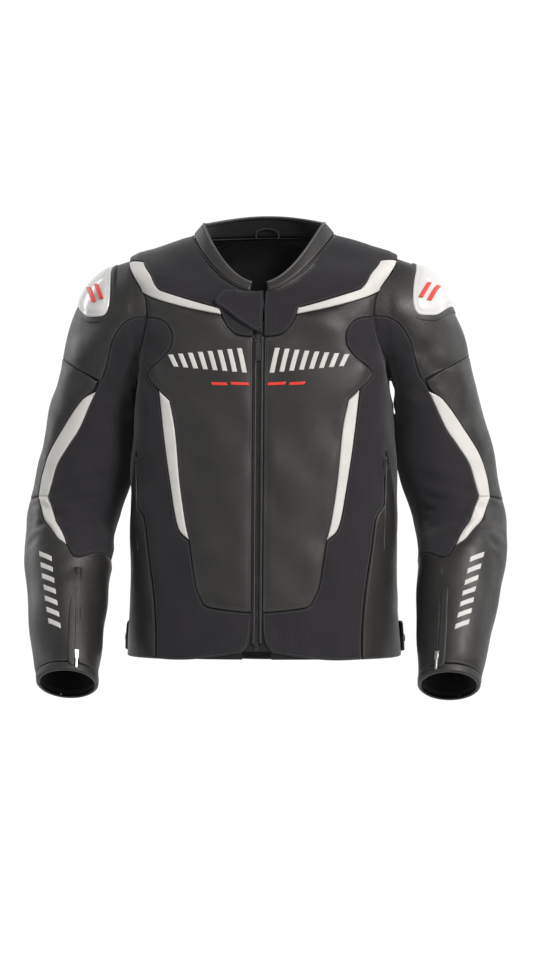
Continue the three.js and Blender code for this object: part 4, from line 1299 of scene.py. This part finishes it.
def turning_room(uv):
    """Highest the sleeve may stand near the armhole, which keeps it below the body's panels."""
    return -0.2 + 7 * np.maximum(0, uv[:, 1] - 1.12)


cuff_top = SLEEVE.at([(113, 10.15)])[0]
cuff_bottom = SLEEVE.at([(113, 11)])[0]
cuff_place = Place(cuff_top, cuff_bottom, SLEEVE.normal([(113, 10.5)])[0])

around = np.linspace(0, 360, 73)[:-1]
for side, word in SIDES:
    key = f"sleeve_{word}"
    sleeve_style = dict(cap=turning_room, thick=1.7, puff=1.2, swell=1.9, seams=(2.3,), key=key,
                        grooves=((3.0, 0.25),))
    upper = panel(f"upper_{word}", upper_patch, side, SHADED_SLEEVE_LEATHER, **sleeve_style)
    outer = panel(f"outer_{word}", outer_patch, side, SHADED_SLEEVE_LEATHER, **sleeve_style)
    border = panel(f"cup_border_{word}", cup_border, side, SHADED_SLEEVE_LEATHER, base=1.6, thick=1.4, roll=1.6,
                   puff=0.4, reach=4, swell=0.2, seams=(2.0, 4.4), key=key)
    tube_in = grid_mesh(f"sleeve_under_{word}", lambda uv: SLEEVE.lifted(uv, -3.2), around,
                        np.linspace(0.05, 10.97, 90), LINING, wrap=True, side=side)
    stub = grid_mesh(f"armhole_stub_{word}", lambda uv: SLEEVE.lifted(uv, -1.4), around,
                     [-0.1, 0.3, 0.7, 1.1], SHADED_SLEEVE_LEATHER, wrap=True, side=side)
    keep(join_objects(f"sleeve_leather_{word}", [upper, outer, border, tube_in, stub]), key, "black_leather",
         f"sleeve_leather_{word}")
    textile = panel(f"sleeve_textile_{word}", sleeve_textile_patch, side, TEXTILE, cap=turning_room,
                    base=-0.4, puff=0.6, swell=1.9, seams=(2.3,), key=key)
    keep(textile, key, "stretch_textile", f"sleeve_textile_{word}", f"elbow_gusset_{word}")
    for name, patch in (("sleeve_stripe", sleeve_stripe_patch), ("forearm_stripe", low_stripe_patch)):
        name = f"{name}_{word}"
        keep(panel(name, patch, side, WHITE, **STRIPE), key, "white_leather", name)
    forearm = panel(f"forearm_{word}", forearm_patch, side, SHADED_SLEEVE_LEATHER, **sleeve_style)
    band = panel(f"cuff_band_{word}", cuff_band, side, SHADED_SLEEVE_LEATHER, base=2.4, thick=1.6, roll=1.4,
                 puff=0.3, reach=3, swell=0.1, seams=(2.0,), key=key)
    keep(join_objects(f"forearm_{word}", [forearm, band]), key, "black_leather", f"forearm_{word}")
    cuff_edge = SLEEVE.lifted([(p, 10.99) for p in np.linspace(0, 354, 60)] + [(0, 10.99)], -1.5)
    rim = tube(f"cuff_rim_{word}", cuff_edge, 1.5, SHADED_SLEEVE_LEATHER, side=side)
    cuff = panel(f"cuff_{word}", cuff_patch, side, SHADED_SLEEVE_LEATHER, base=0.7, thick=1.6, roll=1.6, puff=0.5,
                 reach=3, swell=0.2, seams=(2.0,), key=f"lower_arm_{word}")
    keep(join_objects(f"cuff_{word}", [cuff, rim]), f"lower_arm_{word}", "black_leather", f"cuff_{word}")
    keep(panel(f"shoulder_slider_{word}", cup_patch, side, CUP, base=3.4, thick=2.2, roll=2.4, puff=0.5,
               reach=8, swell=0.0, extra=cup_shape, closed=0.9), f"upper_arm_{word}", "hard_shell",
         f"shoulder_slider_{word}")
    marks = []
    for i in range(7):
        x, z = 291 - 2.6 * i, 128 - 15 * i
        corners = [(x - 11, z - 4), (x + 6, z + 3), (x + 7, z + 10), (x - 10, z + 3)]
        marks.append(print_mark(f"dash_{word}_{i}", corners, WHITE, side, arm_uv, SLEEVE, 1.6, 1.9))
    keep(join_objects(f"forearm_graphic_{word}", marks), key, "white_leather")
    marks = []
    for i, (x, z) in enumerate(((209, 476), (219, 472))):
        corners = [(x, z), (x + 5, z - 1), (x + 14, z + 17), (x + 9, z + 18)]
        marks.append(print_mark(f"wedge_{word}_{i}", corners, RED, side, arm_uv, SLEEVE, 8.0, 0.0))
    keep(join_objects(f"cup_graphic_{word}", marks), f"upper_arm_{word}", "hard_shell")
    zip_parts = [
        solids(f"cuff_teeth_{word}", cuff_place, teeth_parts(cuff_place.length - 3, 2.0, 2.0, (0.2, 1.5)),
               TEETH, side),
        solids(f"cuff_tape_{word}", cuff_place, [((-5, -0.6, 3 - cuff_place.length), (5, 0.4, 0))],
               TAPE, side)]
    keep(join_objects(f"cuff_zip_{word}", zip_parts), f"lower_arm_{word}", "zip_tape", f"cuff_zip_{word}")
    drop = 30 - cuff_place.length
    keep(solids(f"cuff_slider_{word}", cuff_place, [
        ((-2.9, 0.6, drop - 9), (2.9, 2.4, drop)), ((-1.4, 2.2, drop - 6), (1.4, 3.6, drop - 3)),
        ((-2.4, 2.6, drop - 13), (2.4, 3.6, drop - 4)), ((-1.5, 2.6, drop - 26), (1.5, 3.5, drop - 12.8))],
        METAL, side), f"cuff_pull_{word}", "zip_metal", f"cuff_slider_{word}")


# ---- armour ----------------------------------------------------------------------------------------
def pad(name, surface, loop, low, high, body, side):
    """Soft armour pad with a rolled edge and rows of round dents."""
    def dents(uv, d, points):
        flat = uv * pad_patch.scale
        spots = np.sin(flat[:, 0] * 0.42) * np.sin(flat[:, 1] * 0.42)
        return -0.9 * np.clip(spots, 0, 1) * np.clip((d - 4) / 4, 0, 1)

    pad_patch = Patch(surface, loop, spacing=4.5)
    obj = panel(name, pad_patch, side, FOAM, base=high, thick=2.6, roll=4.0, puff=0.0, swell=0.0,
                extra=dents, closed=low)
    keep(obj, body, "armour_foam", name)


for side, word in SIDES:
    pad(f"shoulder_armour_{word}", SLEEVE, outline(
        SLEEVE, [(-50, 2.1), (0, 1.95), (50, 2.1)], [(50, 2.1), (52, 3.0), (46, 4.1)],
        [(46, 4.1), (0, 4.28), (-46, 4.1)], [(-46, 4.1), (-52, 3.0), (-50, 2.1)]), -13.5, -6.2,
        f"upper_arm_{word}", side)
    pad(f"elbow_armour_{word}", SLEEVE, outline(
        SLEEVE, [(218, 9.5), (270, 9.43), (322, 9.5)], [(322, 9.5), (324, 9.9), (312, 10.4)],
        [(312, 10.4), (270, 10.44), (228, 10.4)], [(228, 10.4), (216, 9.9), (218, 9.5)]), -9.6, -4.2,
        f"lower_arm_{word}", side)
pad("back_protector", BODY, outline(
    BODY, [(150, 2.75), (180, 2.75), (210, 2.75)], [(210, 2.75), (214, 4.2), (212, 5.2)],
    [(212, 5.2), (200, 6.0), (180, 6.15), (160, 6.0), (148, 5.2)], [(148, 5.2), (146, 4.2), (150, 2.75)]),
    -19.5, -9.6, "body", 1)
inside_hem = BODY.at([(180, 0.4)])[0, 1] - 17.2
trouser_place = Place((0, inside_hem, 34), (0, inside_hem, 10), np.array([0, -1.0, 0]))
trouser_parts = [((-60, -0.9, -24), (60, 0.4, 0))]
trouser_teeth = [((x - 0.7, 0.3, -24.6), (x + 0.7, 1.0, -21.5)) for x in np.arange(-58, 59, 2.4)]
keep(join_objects("trouser_zip", [solids("trouser_tape", trouser_place, trouser_parts, TAPE),
                                  solids("trouser_teeth", trouser_place, trouser_teeth, TEETH)]),
     "body", "zip_tape", "trouser_zip")


# ---- thread ----------------------------------------------------------------------------------------
for key, (verts, faces) in STITCHES.items():
    uv = np.asarray(verts)[:, :2]
    keep(mesh_object(f"stitching_{key}", verts, faces, THREAD, uv), key, "black_leather")

# ---- frame, light and camera -----------------------------------------------------------------------
for obj, body, slot, nodes in PIECES:
    if body.startswith("sleeve_"):
        word = body.split("_")[1]
        start, end = bends(1 if word == "left" else -1)
        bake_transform(obj)
    else:
        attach(obj, body)
    if nodes:
        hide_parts(*nodes)

VIEW = {"azimuth": 4.5, "aim_x": 3.0, "distance": EYE_DISTANCE / 1000, "frame_height": 1.297}


def area_light(name, place, target, size, power, color=(1, 1, 1)):
    data = bpy.data.lights.new(name, "AREA")
    data.shape, data.size, data.size_y = "RECTANGLE", size[0], size[1]
    data.energy, data.color = power, color
    obj = bpy.data.objects.new(name, data)
    bpy.context.collection.objects.link(obj)
    obj.location = place
    obj.rotation_euler = (Vector(target) - Vector(place)).to_track_quat("-Z", "Y").to_euler()


def camera():
    data = bpy.data.cameras.new("camera")
    data.sensor_fit = "VERTICAL"
    data.sensor_height = 24
    data.lens = 24 / 2 / math.tan(math.atan(VIEW["frame_height"] / 2 / VIEW["distance"]))
    obj = bpy.data.objects.new("camera", data)
    bpy.context.collection.objects.link(obj)
    aim = Vector(row((VIEW["aim_x"], 0, EYE_HEIGHT)))
    a = math.radians(VIEW["azimuth"])
    obj.location = aim + Vector((math.sin(a), -math.cos(a), 0)) * VIEW["distance"]
    obj.rotation_euler = (aim - obj.location).to_track_quat("-Z", "Y").to_euler()
    bpy.context.scene.camera = obj


def studio():
    """Seamless paper: floor, a wide curve and a wall behind the jacket."""
    floor_z, wall_y, bend, half = -1.9, 7.0, 2.5, 12.0
    run = [(-half, floor_z), (wall_y - bend, floor_z)]
    run += [(wall_y - bend + bend * math.sin(a), floor_z + bend - bend * math.cos(a))
            for a in np.linspace(0.05, math.pi / 2, 24)] + [(wall_y, floor_z + 9)]
    verts = [(x, y, z) for y, z in run for x in (-half, half)]
    faces = [(2 * i, 2 * i + 1, 2 * i + 3, 2 * i + 2) for i in range(len(run) - 1)]
    mesh = bpy.data.meshes.new("studio_floor")
    mesh.from_pydata(verts, [], faces)
    mesh.polygons.foreach_set("use_smooth", [True] * len(mesh.polygons))
    floor = bpy.data.objects.new("studio_floor", mesh)
    bpy.context.collection.objects.link(floor)
    material, tree, shader = nodes_of("studio_paper")
    speck = add_node(tree, "ShaderNodeTexNoise", Scale=3.0, Detail=3.0)
    tree.links.new(tinted(tree, speck.outputs["Fac"], (0.86, 0.86, 0.86), (0.9, 0.9, 0.9)),
                   shader.inputs["Base Color"])
    shader.inputs["Roughness"].default_value = 0.9
    floor.data.materials.append(material)
    world = bpy.data.worlds.new("studio")
    world.use_nodes = True
    world.node_tree.nodes["Background"].inputs["Color"].default_value = (1, 1, 1, 1)
    world.node_tree.nodes["Background"].inputs["Strength"].default_value = 0.5
    bpy.context.scene.world = world
    target = (0, -0.05, -0.28)
    area_light("key", (1.9, -2.2, 1.4), target, (0.8, 0.9), 121, (1.0, 0.965, 0.93))
    area_light("fill", (-2.4, -1.8, 0.5), target, (1.0, 1.6), 5)
    area_light("rim_right", (2.3, 0.9, 0.4), target, (0.5, 2.0), 8)
    area_light("rim_left", (-2.3, 0.9, 0.5), target, (0.5, 2.0), 18)
    area_light("backdrop_left", (-4.5, 3.0, 3.0), (-0.5, 7.0, 0.3), (2.5, 3.0), 150)
    area_light("backdrop_right", (4.5, 3.0, 3.0), (0.5, 7.0, 0.3), (2.5, 3.0), 150)


bpy.context.scene.view_settings.view_transform = "Standard"
camera()
studio()
